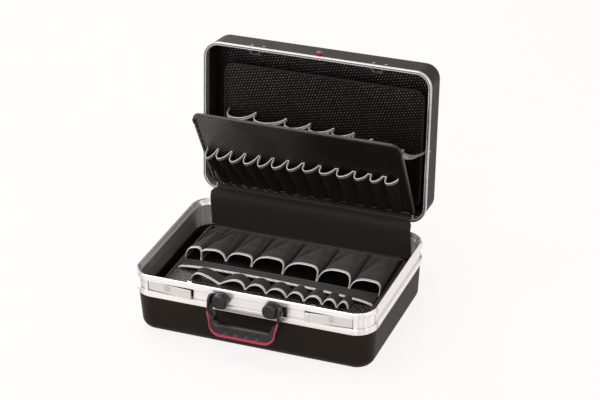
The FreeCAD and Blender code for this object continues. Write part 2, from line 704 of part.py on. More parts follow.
def make_lock(side):
    tag = "left" if side < 0 else "right"
    middle = band_low + S.BandHeight / 2
    centre = lock_centre * side
    pivot_x = centre - S.LockPivotOffset * side
    pivot_y = -half_depth + S.LockPivotDepth
    gap = S.HousingClearance
    length = window_length / 2 - gap
    height = housing_height / 2 - gap
    front = -half_depth + S.MouthInset - S.SkirtWall
    back = front + S.HousingDepth
    wall = S.HousingWall
    shell = block("lock_housing_%s_solid" % tag, (centre - length, centre + length),
                  (front, back), (middle - height, middle + height))
    pieces = [shell]
    for step in (-1, 1):
        far = middle + height * step
        near = far - wall * step
        pieces.append(block("lock_housing_%s_ear_%d" % (tag, step),
                            (pivot_x - S.LugRadius, pivot_x + S.LugRadius),
                            (pivot_y - S.LockPinRadius - wall, front + wall),
                            (near, far) if step > 0 else (far, near)))
    cavity = block("lock_housing_%s_cavity" % tag,
                   (centre - length + wall, centre + length - wall),
                   (front, back - wall),
                   (middle - height + wall, middle + height - wall))
    hook_x = lock_hook * side
    slot_low = front + S.HookSlotFront
    slot = block("lock_housing_%s_slot" % tag,
                 (hook_x - S.HookSlotLength / 2, hook_x + S.HookSlotLength / 2),
                 (slot_low, slot_low + S.HookSlotWidth), (middle, middle + height + S.Overrun))
    bore = rod("lock_housing_%s_bore" % tag, "z", (pivot_x, pivot_y, 0), S.LockPinRadius,
               middle - height - S.Overrun, middle + height + S.Overrun)
    keep(cut("lock_housing_%s" % tag, fuse("lock_housing_%s_walls" % tag, pieces),
             [cavity, slot, bore]))
    pin = rod("lock_pin_%s" % tag, "z", (pivot_x, pivot_y, 0), S.LockPinRadius,
              middle - height, middle + height)

    # The rocker is drawn locked and turned open about its pin
    turn = Placement(Vector(), Rotation(Vector(0, 0, 1), S.LockOpenAngle.value * side),
                     Vector(pivot_x.value, pivot_y.value, 0))
    plate_front = -half_depth - S.LockProud
    plate_back = plate_front + S.LockPlate
    reach = S.LockLength / 2
    tall = S.LockHeight / 2
    body = plate_along_y("rocker_plate_%s" % tag, [rounded(
        centre - reach, centre + reach, middle - tall, middle + tall, S.LockEndRadius)],
        plate_front, plate_back)
    soften(body, S.LockPlate / 3, lambda e: e.BoundBox.YMax < plate_front.value + 0.01)
    inner_end = centre - reach * side
    tab_far = inner_end + S.LockTabLength * side
    tab_x = (inner_end, tab_far) if side > 0 else (tab_far, inner_end)
    ridge = block("rocker_tab_%s" % tag, (tab_x[0] + S.LockEndRadius, tab_x[1]),
                  (plate_front - S.LockTabRise, plate_front + S.LockPlate / 2),
                  (middle - tall + S.LockEndRadius, middle + tall - S.LockEndRadius))
    lug_z = height - wall - S.LugGap
    pieces = [body, ridge]
    for step in (-1, 1):
        far = middle + lug_z * step
        near = far - S.LugThickness * step
        limits = (near, far) if step > 0 else (far, near)
        pieces.append(block("rocker_lug_%s_%d" % (tag, step),
                            (pivot_x - S.LugRadius, pivot_x + S.LugRadius),
                            (plate_back - S.LockPlate / 2, pivot_y), limits))
        pieces.append(rod("rocker_eye_%s_%d" % (tag, step), "z", (pivot_x, pivot_y, 0),
                          S.LugRadius, limits[0], limits[1]))
    solid = fuse("rocker_solid_%s" % tag, pieces)
    plug_x = centre + S.PlugOffset * side
    holes = [
        rod("rocker_bore_%s" % tag, "z", (pivot_x, pivot_y, 0),
            S.LockPinRadius + S.LockPinClearance, middle - tall, middle + tall),
        rod("rocker_plug_hole_%s" % tag, "y", (plug_x, 0, middle),
            S.PlugRadius + S.PlugClearance, plate_front - S.Overrun, plate_back + S.Overrun),
    ]
    keep(cut("lock_rocker_%s" % tag, solid, holes), turn)

    # The hook stands on a foot behind the rocker plate and reaches up through the mouth
    foot_y = plate_back
    post_y = foot_y + S.HookFoot
    low = middle - S.HookWidth / 2
    top = low + S.HookHeight
    hook = prism("hook_%s" % tag, "YZ_Plane", [[
        (foot_y, low), (post_y + S.HookThickness, low),
        (post_y + S.HookThickness, top - S.HookNoseHeight),
        (post_y + S.HookThickness + S.HookNose, top - S.HookNoseHeight),
        (post_y + S.HookThickness, top), (post_y, top),
        (post_y, low + S.HookThickness * 2), (foot_y, low + S.HookThickness * 2)]],
        hook_x - S.HookWidth / 2, hook_x + S.HookWidth / 2)
    hook.Label = "latch_hook_%s" % tag
    keep(hook, turn)

    # The key plug with its rim, key slot and cam
    barrel = rod("plug_barrel_%s" % tag, "y", (plug_x, 0, middle), S.PlugRadius,
                 plate_front - S.PlugProud, plate_front + S.PlugLength)
    rim_ring = rod("plug_rim_%s" % tag, "y", (plug_x, 0, middle), S.PlugRimRadius,
                   plate_front - S.PlugProud - S.PlugRim, plate_front - S.PlugProud)
    cam = block("plug_cam_%s" % tag, (plug_x - S.CamWidth / 2, plug_x + S.CamWidth / 2),
                (plate_front + S.PlugLength, plate_front + S.PlugLength + S.CamThickness),
                (middle - S.CamLength, middle + S.CamWidth / 2))
    key = block("plug_key_%s" % tag,
                (plug_x - S.KeySlotWidth / 2, plug_x + S.KeySlotWidth / 2),
                (plate_front - S.PlugProud - S.PlugRim - S.Overrun, plate_front + S.KeySlotDepth),
                (middle - S.KeySlotLength / 2, middle + S.KeySlotLength / 2))
    keep(cut("lock_plug_%s" % tag, fuse("plug_solid_%s" % tag, [barrel, rim_ring, cam]), [key]),
         turn)

    # The bowed leaf spring that lies in the housing and carries no load when the lock is open
    spring_x = centre + window_length / 4 * side
    far = back - wall
    start, half = spring_x - S.SpringWidth, S.SpringWidth
    bow = prism("lock_spring_%s" % tag, "XY_Plane", [[
        (start, far - S.SpringThickness), (start + half, far - S.SpringRise - S.SpringThickness),
        (start + half * 2, far - S.SpringThickness), (start + half * 2, far),
        (start + half, far - S.SpringRise), (start, far)]],
        middle - S.SpringWidth / 2, middle + S.SpringWidth / 2)
    return pin, bow


# Strikers on the lid's front rim, their rivets, and the round stud

def make_strikers():
    rivets = []
    face = lid_front + S.LidFrameWidth
    outside = lid_front + S.LidShellInset
    high = rim + S.RivetHeight
    for side in (-1, 1):
        tag = "left" if side < 0 else "right"
        centre = lock_hook * side
        half = S.StrikerLength / 2
        thick = S.StrikerThickness
        plate = block("striker_%s_plate" % tag, (centre - half, centre + half),
                      (face, face + thick), (rim, rim + S.StrikerHeight))
        tab = block("striker_%s_tab" % tag, (centre - S.StrikerTab / 2, centre + S.StrikerTab / 2),
                    (face, face + S.StrikerFlange), (rim, rim + thick))
        angle = fuse("striker_%s_angle" % tag, [plate, tab])
        slot = block("striker_%s_slot" % tag,
                     (centre - S.StrikerSlotLength / 2, centre + S.StrikerSlotLength / 2),
                     (face - S.Overrun, face + S.StrikerSlotWidth),
                     (rim - S.Overrun, rim + S.StrikerSlotHeight))
        keep(cut("striker_%s" % tag, angle, [slot]), LID)
        for step in (-1, 1):
            x = centre + S.RivetSpacing / 2 * step
            rivets.append(rod("striker_rivet_%s_%d" % (tag, step), "y", (x, 0, high),
                              S.RivetHeadRadius, outside - S.RivetHead, outside))
    keep(group("striker_rivets", rivets), LID)
    z = rim + S.StudHeight
    washer = rod("stud_washer", "y", (0, 0, z), S.StudWasher,
                 outside - S.StudWasherThickness, outside)
    stem = rod("stud_stem", "y", (0, 0, z), S.StudRadius,
               outside - S.StudProud, outside - S.StudWasherThickness)
    stud = fuse("lid_stud_solid", [washer, stem])
    keep(round_edges("lid_stud", stud, S.StudRadius * 0.6,
                     lambda e: e.BoundBox.YMax < (outside - S.StudProud).value + 0.01), LID)


# Handle: a hanging bail with a soft line, two mounts and two shoulder pins

def handle_outlines():
    """The bail's front outline and its inner one, in X and Z with the pin line at zero."""
    wide = S.HandleHalfWidth
    low = wide - S.HandleTaper
    ear = S.HandleEarRadius
    reach = S.HandleReach
    corner = S.HandleCorner
    ear_in = wide - S.HandleEar
    arm_in = wide - S.HandleArm
    low_in = low - S.HandleArm
    inner = S.HandleInnerCorner
    bar = reach - S.HandleBar
    outside = [
        (-wide, ear), (-wide, -S.AccentStart), (-low, -(reach - corner), corner, 1),
        (-(low - corner), -reach), (low - corner, -reach, corner, 1), (low, -(reach - corner)),
        (wide, -S.AccentStart), (wide, ear),
    ]
    opening = [
        (ear_in, ear), (ear_in, -S.AccentStart), (arm_in, -S.HandleShoulder),
        (low_in, -(bar - inner), inner, -1), (low_in - inner, -bar),
        (-(low_in - inner), -bar, inner, -1), (-low_in, -(bar - inner)),
        (-arm_in, -S.HandleShoulder), (-ear_in, -S.AccentStart), (-ear_in, ear),
    ]
    return outside + opening


def accent_outline():
    """The strip along the bail's outer edge that the soft line fills."""
    wide, reach, corner = S.HandleHalfWidth, S.HandleReach, S.HandleCorner
    low = wide - S.HandleTaper
    band = S.AccentWidth
    less = corner - band
    return [
        (-wide, -S.AccentStart), (-low, -(reach - corner), corner, 1),
        (-(low - corner), -reach), (low - corner, -reach, corner, 1), (low, -(reach - corner)),
        (wide, -S.AccentStart), (wide - band, -S.AccentStart),
        (low - band, -(reach - corner), less, -1), (low - corner, -(reach - band)),
        (-(low - corner), -(reach - band), less, -1), (-(low - band), -(reach - corner)),
        (-(wide - band), -S.AccentStart),
    ]


def make_handle():
    axis_y = -half_depth - S.HandleAxisFront
    axis_z = band_low + S.HandleAxisRise
    hang = Placement(Vector(0, axis_y.value, axis_z.value),
                     Rotation(Vector(1, 0, 0), -S.HandleAngle.value))
    front, back = S.HandleFront, S.HandleBack
    bail = plate_along_y("handle_front_view", [handle_outlines()], -front, back)
    side = prism("handle_side_view", "YZ_Plane", [[
        (-front, -S.HandleReach - S.Overrun), (back, -S.HandleReach - S.Overrun), (back, 0),
        (as_size(0), S.HandleEarRadius), (-front, 0)]],
        -S.HandleHalfWidth - S.Overrun, S.HandleHalfWidth + S.Overrun)
    ear = rod("handle_ear_view", "x", (0, 0, 0), S.HandleEarRadius,
              -S.HandleHalfWidth - S.Overrun, S.HandleHalfWidth + S.Overrun)
    shaped = common("handle_shaped", bail, fuse("handle_profile", [side, ear]))
    accent = plate_along_y("handle_accent_strip", [accent_outline()],
                           -front, -front + S.AccentDepth)
    accent.Label = "handle_accent"
    groove = plate_along_y("handle_groove", [accent_outline()],
                           -front, -front + S.AccentDepth)
    tools = [groove]
    bar_top = -(S.HandleReach - S.HandleBar)
    for number in range(int(S.DimpleCount.value)):
        x = S.DimpleSpacing * (number - (S.DimpleCount - 1) / 2)
        tools.append(rod("handle_dimple_%d" % number, "y",
                         (x, 0, bar_top + S.DimpleRadius - S.DimpleDepth), S.DimpleRadius,
                         -front - S.Overrun, as_size(0)))
    for side_sign in (-1, 1):
        near, far = S.HandleHalfWidth - S.HandleEar - S.Overrun, S.HandleHalfWidth + S.Overrun
        limits = (near, far) if side_sign > 0 else (-far, -near)
        tools.append(rod("handle_bore_%d" % side_sign, "x", (0, 0, 0),
                         S.HandlePinRadius + S.HandlePinClearance, limits[0], limits[1]))
    grip = cut("handle_grip", shaped, tools)
    keep(grip, hang)
    keep(accent, hang)
    pins = []
    for side_sign in (-1, 1):
        tag = "left" if side_sign < 0 else "right"
        outer = S.HandleHalfWidth
        boss_far = outer - S.HandleEar - S.MountGap / 4
        boss_near = boss_far - S.MountBossWidth
        base_far = outer + S.HandleArm / 2
        base_near = base_far - S.MountBase
        spans = [(boss_near, boss_far), (base_near, base_far)]
        if side_sign < 0:
            spans = [(-b, -a) for a, b in spans]
        boss = plate_along_y("mount_boss_%s" % tag, [rounded(
            spans[0][0], spans[0][1], axis_z - S.MountBossHeight / 2,
            axis_z + S.MountBossHeight / 2, S.MountBossRadius)],
            axis_y - S.MountBossFront, band_face - S.BandRecess - S.LeafGap)
        soften(boss, S.MountEdge,
               lambda e: e.BoundBox.YMax < (axis_y - S.MountBossFront).value + 0.01)
        foot = plate_along_y("mount_foot_%s" % tag, [rounded(
            spans[1][0], spans[1][1], band_low + S.LeafGap, band_high - S.LeafGap,
            S.MountFootRadius)], band_face - S.BandRecess - S.LeafGap, band_face)
        bore = rod("mount_bore_%s" % tag, "x", (0, axis_y, axis_z), S.HandlePinRadius,
                   -outer if side_sign < 0 else outer - S.HandlePinReach,
                   -(outer - S.HandlePinReach) if side_sign < 0 else outer)
        keep(cut("handle_mount_%s" % tag, fuse("mount_solid_%s" % tag, [boss, foot]), [bore]))
        shaft = rod("handle_pin_shaft_%s" % tag, "x", (0, axis_y, axis_z), S.HandlePinRadius,
                    -outer if side_sign < 0 else outer - S.HandlePinReach,
                    -(outer - S.HandlePinReach) if side_sign < 0 else outer)
        head_near = outer + S.LeafGap / 3
        head_far = head_near + S.HandlePinHeadHeight
        head = rod("handle_pin_head_%s" % tag, "x", (0, axis_y, axis_z), S.HandlePinHead,
                   head_near if side_sign > 0 else -head_far,
                   head_far if side_sign > 0 else -head_near)
        neck = rod("handle_pin_neck_%s" % tag, "x", (0, axis_y, axis_z), S.HandlePinRadius,
                   outer if side_sign > 0 else -head_near,
                   head_near if side_sign > 0 else -outer)
        pins.append(fuse("handle_pin_%s" % tag, [shaft, neck, head]))
    keep(group("handle_pins", pins))


# Boards: flat plates with a raised bead round the edge

def make_board(name, left, right, low, high, face, up):
    """A board from face downwards for up -1, or upwards for up 1, with its bead on the face."""
    body = new_body(name)
    outer = rounded(left, right, low, high, S.BoardRadius)
    bead = S.BoardBead
    inner = rounded(left + bead, right - bead, low + bead, high - bead, S.BoardRadius - bead)
    far = face + S.BoardThickness * up
    top = face - S.BoardBeadHeight * up
    if up > 0:
        add_pad(body, "XY_Plane", [outer], face, far)
        add_pad(body, "XY_Plane", [outer, inner], top, face)
    else:
        add_pad(body, "XY_Plane", [outer], far, face)
        add_pad(body, "XY_Plane", [outer, inner], face, top)
    soften(body, S.BoardEase, lambda e: abs(e.BoundBox.ZMax - top.value) < 0.01
           and abs(e.BoundBox.ZMin - top.value) < 0.01)
    return body


def make_base_board():
    shift = -S.BaseBoardShift
    left = shift - base_board_half
    right = shift + base_board_half
    half = half_depth - S.BaseBoardEnds
    keep(make_board("base_board", left, right, -half, half, board_level, -1))
    posts = []
    for x in (left + S.PostInset, right - S.PostInset):
        for y in (-half + S.PostInset, half - S.PostInset):
            number = len(posts)
            post = rod("board_post_%d_shaft" % number, "z", (x, y, 0), S.PostRadius,
                       S.ShellWall, board_level - S.BoardThickness)
            flange = rod("board_post_%d_flange" % number, "z", (x, y, 0), S.PostFlange,
                         S.ShellWall, S.ShellWall + S.PostFlangeHeight)
            posts.append(fuse("board_post_%d" % number, [post, flange]))
    keep(group("board_posts", posts))


def make_back_board():
    half = back_board_half
    front, rear = -half_depth + S.BackBoardFront, half_depth - S.BackBoardRear
    face = rim + S.BackBoardRise
    keep(make_board("back_board", -half, half, front, rear, face, 1), LID)
    posts = []
    liner = lid_top - S.LidWall - S.LidLinerThickness
    for x in (-half + S.PostInset, half - S.PostInset):
        for y in (front + S.PostInset, rear - S.PostInset):
            posts.append(rod("back_post_%d" % len(posts), "z", (x, y, 0), S.BackPostRadius,
                             face + S.BoardThickness, liner))
    keep(group("back_board_posts", posts), LID)


def make_swing_board():
    half, front = swing_half, swing_front
    rear = swing_y + S.SwingFoot
    face = swing_z - S.BoardThickness / 2
    board = make_board("swing_board_plate", -half, half, front, rear, face, 1)
    barrels, holes, plates, pins = [], [], [], []
    seat = lid_rear - S.LidFrameWidth - S.SwingBracketSeat
    for side in (-1, 1):
        end = (swing_half - S.SwingBarrelInset) * side
        near = end - S.SwingBarrelLength * side
        plate_near = end + S.SwingBracketGap * side
        plate_far = plate_near + S.SwingBracketThickness * side
        notch_far = plate_far + S.Overrun * side
        pin_near = end - S.SwingPinLength * side

        def span(first, second):
            return (first, second) if side > 0 else (second, first)

        barrel = span(near, end)
        barrels.append(rod("swing_barrel_%d" % side, "x", (0, swing_y, swing_z),
                           S.SwingBarrelRadius, barrel[0], barrel[1]))
        holes.append(rod("swing_bore_%d" % side, "x", (0, swing_y, swing_z),
                         S.SwingPinRadius + S.SwingPinClearance, barrel[0] - S.Overrun,
                         barrel[1] + S.Overrun))
        holes.append(block("swing_notch_%d" % side, span(end, notch_far),
                           (swing_y - S.SwingNotch, rear + S.Overrun),
                           (swing_z - S.SwingNotch, swing_z + S.SwingNotch)))
        plate = span(plate_near, plate_far)
        pin = span(pin_near, plate_far)
        pins.append(rod("swing_pin_%d" % side, "x", (0, swing_y, swing_z), S.SwingPinRadius,
                        pin[0], pin[1]))
        foot = block("swing_bracket_%d_foot" % side, plate, (swing_y, seat),
                     (swing_z - S.SwingBarrelRadius, swing_z + S.SwingBarrelRadius))
        eye = rod("swing_bracket_%d_eye" % side, "x", (0, swing_y, swing_z),
                  S.SwingBarrelRadius, plate[0], plate[1])
        hole = rod("swing_bracket_%d_hole" % side, "x", (0, swing_y, swing_z),
                   S.SwingPinRadius, plate[0] - S.Overrun, plate[1] + S.Overrun)
        plates.append(cut("swing_bracket_%d" % side,
                          fuse("swing_bracket_%d_solid" % side, [foot, eye]), [hole]))
    solid = fuse("swing_board_solid", [board] + barrels)
    keep(cut("swing_board", solid, holes), SWING)
    keep(group("swing_brackets", plates), LID)
    keep(group("swing_pins", pins), LID)
    clips = []
    middle = front + S.StrapBoardDrop
    bead = face - S.BoardBeadHeight
    for side in (-1, 1):
        near, far = (half - S.ClipWidth) * side, half * side
        clips.append(block("swing_clip_%d" % side, (near, far) if side > 0 else (far, near),
                           (middle - S.ClipLength / 2, middle + S.ClipLength / 2),
                           (bead - S.ClipThickness, bead)))
    keep(group("swing_clips", clips), SWING)


# Sewn pocket rows: one sheet of cloth that arches between its seams

def arch_points(left, right, height):
    """A round arch of straight runs, from the left seam to the right one, in X and Z."""
    middle, half = (left + right) / 2, (right - left) / 2
    angles = [math.pi * step / ARCH_RUNS for step in range(ARCH_RUNS + 1)]
    return [(middle - half * math.cos(a), height * math.sin(a)) for a in angles]


def row_section(seams, heights, cloth, seam, y):
    """Closed outline of the cloth across the whole row, at one Y."""
    upper, lower = [(seams[0] - seam / 2, cloth)], [(seams[0] - seam / 2, 0)]
    for left, right, height in zip(seams, seams[1:], heights):
        arch = arch_points(left + seam / 2, right - seam / 2, height)
        upper += [(x, z + cloth) for x, z in arch]
        lower += arch_points(left + seam / 2 + cloth, right - seam / 2 - cloth, height)
    upper.append((seams[-1] + seam / 2, cloth))
    lower.append((seams[-1] + seam / 2, 0))
    loop = [Vector(x, y, z) for x, z in upper + list(reversed(lower))]
    return Part.makePolygon(loop + loop[:1])


def pocket_row(name, seams, mouth, rear, height, tail, shares=None):
    """The row's cloth, lofted from the open mouth at y = mouth to the seam at y = rear."""
    cloth, seam = S.ClothThickness.value, S.SeamWidth.value
    share = S.PocketTaperShare.value
    open_heights = [height * rise for rise in shares or (1.0,) * (len(seams) - 1)]
    sections = [row_section(seams, open_heights, cloth, seam, mouth),
                row_section([x * share for x in seams], [tail] * len(open_heights), cloth,
                            seam, rear)]
    return feature(name, Part.makeLoft(sections, True, True))


def seams_on(half, shares):
    return [half.value * share for share in shares]


def hanging_seams(half, shares):
    """The seams of a row that is turned over lengthwise, so left and right change places."""
    return [-place for place in reversed(seams_on(half, shares))]


def make_pockets():
    shift = -S.BaseBoardShift.value
    rest = Placement(Vector(shift, 0, (board_level + S.ClothGap).value), Rotation())
    tail = S.PocketTail.value
    rear = half_depth - S.LargePocketRear
    mouth = rear - S.LargePocketDepth
    row = pocket_row("base_pocket_row", seams_on(base_board_half, LARGE_SEAM_SHARES),
                     mouth.value, rear.value, S.LargePocketHeight.value, tail,
                     LARGE_HEIGHT_SHARES)
    keep(row, rest)
    flat = (half_length - S.FlatPocketMargin).value
    rear = mouth - S.FlatPocketGap
    mouth = rear - S.FlatPocketDepth
    row = pocket_row("base_flat_pocket", [-flat, flat], mouth.value, rear.value,
                     S.FlatPocketHeight.value, tail)
    keep(row, rest)
    rear = mouth - S.LoopGap
    row = pocket_row("base_loop_row", seams_on(base_board_half, LOOP_SEAM_SHARES),
                     (rear - S.LoopDepth).value, rear.value, S.LoopHeight.value,
                     S.LoopHeight.value)
    keep(row, rest)
    face = rim + S.BackBoardRise - S.ClothGap
    rear = half_depth - S.BackBoardRear - S.PocketEndMargin
    # The cloth hangs under the closed lid's boards, so its rows are turned over lengthwise
    over = Rotation(Vector(0, 1, 0), 180)
    row = pocket_row("back_pocket_row", hanging_seams(back_board_half, BACK_SEAM_SHARES),
                     (rear - S.BackPocketDepth).value, rear.value, S.BackPocketHeight.value,
                     tail)
    keep(row, LID.multiply(Placement(Vector(0, 0, face.value), over)))
    face = swing_z - S.BoardThickness / 2 - S.ClothGap
    rear = swing_y - S.PocketEndMargin
    row = pocket_row("swing_pocket_row", hanging_seams(swing_half, SWING_SEAM_SHARES),
                     (rear - S.SwingPocketDepth).value, rear.value, S.SwingPocketHeight.value,
                     tail)
    keep(row, SWING.multiply(Placement(Vector(0, 0, face.value), over)))


# Hinge cover and straps: soft sheets between the base, the lid and the upper board

def ribbon(name, points, thickness, low, high):
    """A sheet of even thickness that follows straight runs in Y and Z between two X limits."""
    ahead = [Vector(0, p[0], p[1]) for p in points]
    normals = []
    for index in range(len(ahead)):
        before = ahead[max(index - 1, 0)]
        after = ahead[min(index + 1, len(ahead) - 1)]
        run = (after - before).normalize()
        normals.append(Vector(0, -run.z, run.y))
    behind = [p + n * thickness for p, n in zip(ahead, normals)]
    loop = ahead + list(reversed(behind)) + [ahead[0]]
    face = Part.Face(Part.makePolygon([p + Vector(low, 0, 0) for p in loop]))
    return feature(name, face.extrude(Vector(high - low, 0, 0)))


def make_cover():
    """The sheet that hides the hinges, from the base board up over the lid's lower rim."""
    thick = S.CoverThickness.value
    rear, low = (half_depth - S.CoverRear).value, (board_level + S.CoverRise).value
    gap, bulge = S.ClothGap.value, S.CoverBulge.value
    lip_y = (lid_rear - S.LidFrameWidth).value - gap
    near = LID.multVec(Vector(0, lip_y, (rim + S.LidFrameEase).value))
    far = LID.multVec(Vector(0, lip_y, (rim + S.CoverTuck).value))
    rise = near.z - low
    points = [
        (rear, low), (rear - bulge * 0.4, low + rise * 0.3), (rear - bulge, low + rise * 0.6),
        (rear - bulge * 0.7, low + rise * 0.85), (rear + bulge * 0.7, near.z + bulge * 0.3),
        (near.y - bulge * 0.5, near.z + bulge * 0.3), (near.y, near.z), (far.y, far.z),
    ]
    half = half_length - S.CoverMargin
    sheet = ribbon("hinge_cover_sheet", points, thick, -half.value, half.value)
    corners = []
    for side in (-1, 1):
        limits = (half_length - S.CoverTuckMargin, half + S.Overrun)
        corners.append(block("hinge_cover_corner_%d" % side,
                             limits if side > 0 else (-limits[1], -limits[0]),
                             (half_depth - S.CoverRear + S.CoverBulge,
                              hinge_y + S.CoverTuck * 2),
                             (hinge_z, rim + S.LidHeight)))
    doc.recompute()
    keep(cut("hinge_cover", sheet, corners))


def make_straps():
    """Each strap sags between its rivet on the lid's side and the edge of the upper board."""
    wide, thick = S.StrapWidth.value, S.StrapThickness.value
    wall = (lid_half - S.LidFrameWidth).value
    anchor = LID.multVec(Vector(0, strap_anchor_y.value, (rim + S.StrapAnchorRise).value))
    top = (swing_front + S.StrapBoardDrop).value
    hold = SWING.multVec(Vector(0, top, swing_z.value))
    half = swing_half.value
    gap = S.ClothGap.value
    seat = lid_half - S.LidShellInset - S.StrapRivetSink
    straps, rivets = [], []
    for side in (-1, 1):
        start = Vector((wall - gap - thick) * side, anchor.y, anchor.z)
        end = Vector((half + gap) * side, hold.y, hold.z)
        low = (start + end) * 0.5 - Vector(0, 0, S.StrapSag.value)
        path = [start, start * 0.45 + low * 0.55, low, end * 0.45 + low * 0.55, end]
        across = Vector(thick * side, 0, 0)
        up = Vector(0, 0, wide / 2)
        sections = [Part.makePolygon([p - up, p + up, p + up + across, p - up + across, p - up])
                    for p in path]
        straps.append(Part.makeLoft(sections, True, True))
        near, far = seat * side, (seat + S.StrapRivetHeight) * side
        rivets.append(rod("strap_rivet_%d" % side, "x",
                          (0, strap_anchor_y, rim + S.StrapAnchorRise), S.StrapRivetRadius,
                          near if side > 0 else far, far if side > 0 else near))
    keep(feature("strap_left", straps[0]))
    keep(feature("strap_right", straps[1]))
    keep(group("strap_rivets", rivets), LID)


def make_case():
    make_base_shell()
    make_base_frame()
    make_lid_shell()
    make_lid_frame()
    make_lid_liner()
    make_hinges()
    pins, springs = [], []
    for side in (-1, 1):
        pin, spring = make_lock(side)
        pins.append(pin)
        springs.append(spring)
    keep(group("lock_pins", pins))
    keep(group("lock_springs", springs))
    make_strikers()
    make_handle()
    make_base_board()
    make_back_board()
    make_swing_board()
    make_pockets()
    make_cover()
    make_straps()


def check_and_write():
    """Stop on any failed object or shape, and then write one file for each sub-part."""
    doc.recompute()
    failed = [o.Label for o in doc.Objects if "Invalid" in o.State or "Error" in o.State]
    if failed:
        raise RuntimeError("failed objects: " + ", ".join(failed))
    for part in PARTS:
        shape = part.Shape
        if shape.isNull() or not shape.isValid() or not shape.Solids:
            raise RuntimeError("bad shape: " + part.Label)
    os.makedirs("parts", exist_ok=True)
    for part in PARTS:
        part.Shape.exportStep("parts/%s.step" % part.Label)
        print("%-22s solids %2d  volume %9.0f mm3" % (
            part.Label, len(part.Shape.Solids), part.Shape.Volume))
    print(len(PARTS), "sub-parts written")


make_case()
check_and_write()
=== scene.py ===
"""Looks of an open hard tool case: moulded shells in aluminium frames, sewn pocket boards inside.

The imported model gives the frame. Sewn cloth, tape, webbing, stitches and the grip are surfaces
worked out here with numpy. Lengths in the classes are millimetres, and meshes are metres.
"""

from __future__ import annotations

import logging
import math
from dataclasses import dataclass
from enum import Enum

import bmesh
import bpy
import numpy as np
from mathutils import Matrix

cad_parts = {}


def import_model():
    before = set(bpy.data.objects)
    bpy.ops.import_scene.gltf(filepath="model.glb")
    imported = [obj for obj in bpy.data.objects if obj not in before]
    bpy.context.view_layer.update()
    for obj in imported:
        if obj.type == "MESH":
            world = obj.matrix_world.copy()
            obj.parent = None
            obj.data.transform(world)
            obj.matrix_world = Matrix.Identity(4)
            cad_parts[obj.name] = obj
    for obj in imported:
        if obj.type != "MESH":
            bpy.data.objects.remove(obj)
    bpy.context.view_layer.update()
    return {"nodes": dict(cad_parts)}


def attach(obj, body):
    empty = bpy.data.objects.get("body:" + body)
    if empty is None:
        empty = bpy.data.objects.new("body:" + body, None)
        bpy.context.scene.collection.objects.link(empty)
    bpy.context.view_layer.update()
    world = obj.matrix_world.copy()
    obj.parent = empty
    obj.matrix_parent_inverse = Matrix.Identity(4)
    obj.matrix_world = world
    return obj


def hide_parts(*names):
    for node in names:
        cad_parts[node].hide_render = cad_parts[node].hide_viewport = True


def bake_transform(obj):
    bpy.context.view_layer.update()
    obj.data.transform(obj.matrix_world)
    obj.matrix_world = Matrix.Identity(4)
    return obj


Array = np.ndarray
Node = bpy.types.Node
Tree = bpy.types.NodeTree
Source = bpy.types.bpy_struct
MM = 0.001
FAR = 9999.0
# The Mix node's two colour inputs, by number because its inputs share their names
UNDER, OVER = 6, 7
LOG = logging.getLogger("tool_case")


# Colour and node helpers


def linear(code: str) -> tuple[float, float, float, float]:
    """Turn an sRGB hex colour into the linear colour that a shader socket takes.

    Args:
        code: six hex digits, such as "1c1a18".

    Returns:
        Linear red, green, blue and an alpha of 1.
    """
    parts = np.array([int(code[i : i + 2], 16) for i in (0, 2, 4)]) / 255.0
    low = parts / 12.92
    high = ((parts + 0.055) / 1.055) ** 2.4
    red, green, blue = np.where(parts <= 0.04045, low, high)
    return float(red), float(green), float(blue), 1.0


def connect(tree: Tree, source: Source, node: Node, key: str | int) -> None:
    """Link a source to one of a node's inputs.

    Args:
        tree: the node tree.
        source: an output, or a node, whose first output in use is then meant.
        node: the node that takes it.
        key: the input's name or number.
    """
    if isinstance(source, Node):
        source = next(output for output in source.outputs if output.enabled)
    tree.links.new(source, node.inputs[key])


def add_node(tree: Tree, kind: str, settings: dict, links: dict | None = None) -> Node:
    """Add one shader node, set its properties and inputs, and link its inputs.

    Args:
        tree: the material's or the world's node tree.
        kind: the node's type name after the words ShaderNode.
        settings: property names, or input names or numbers, with their values.
        links: input names or numbers, with the sources that feed them.

    Returns:
        The new node.
    """
    node = tree.nodes.new("ShaderNode" + kind)
    for key, value in settings.items():
        if isinstance(key, str) and hasattr(node, key):
            setattr(node, key, value)
        else:
            node.inputs[key].default_value = value
    for key, source in (links or {}).items():
        connect(tree, source, node, key)
    return node


def empty_tree(owner: bpy.types.Material | bpy.types.World) -> Tree:
    """Switch a material's or world's nodes on, and clear them.

    Args:
        owner: the material or world.

    Returns:
        Its empty node tree.
    """
    owner.use_nodes = True
    owner.node_tree.nodes.clear()
    return owner.node_tree


def seen_directly(tree: Tree) -> Node:
    """Tell the rays that show the background from those that only light.

    Args:
        tree: the material's or the world's node tree.

    Returns:
        A node that is 1 on a camera, glossy or transmitted ray, and otherwise 0.
    """
    path = add_node(tree, "LightPath", {})
    seen = path.outputs["Is Camera Ray"]
    for ray in ("Is Glossy Ray", "Is Transmission Ray"):
        seen = add_node(tree, "Math", {"operation": "MAXIMUM"}, {0: seen, 1: path.outputs[ray]})
    return seen


class Coordinates(Enum):
    """Where a pattern takes its place from."""

    OBJECT = "Object"
    UV = "UV"


# Finishes


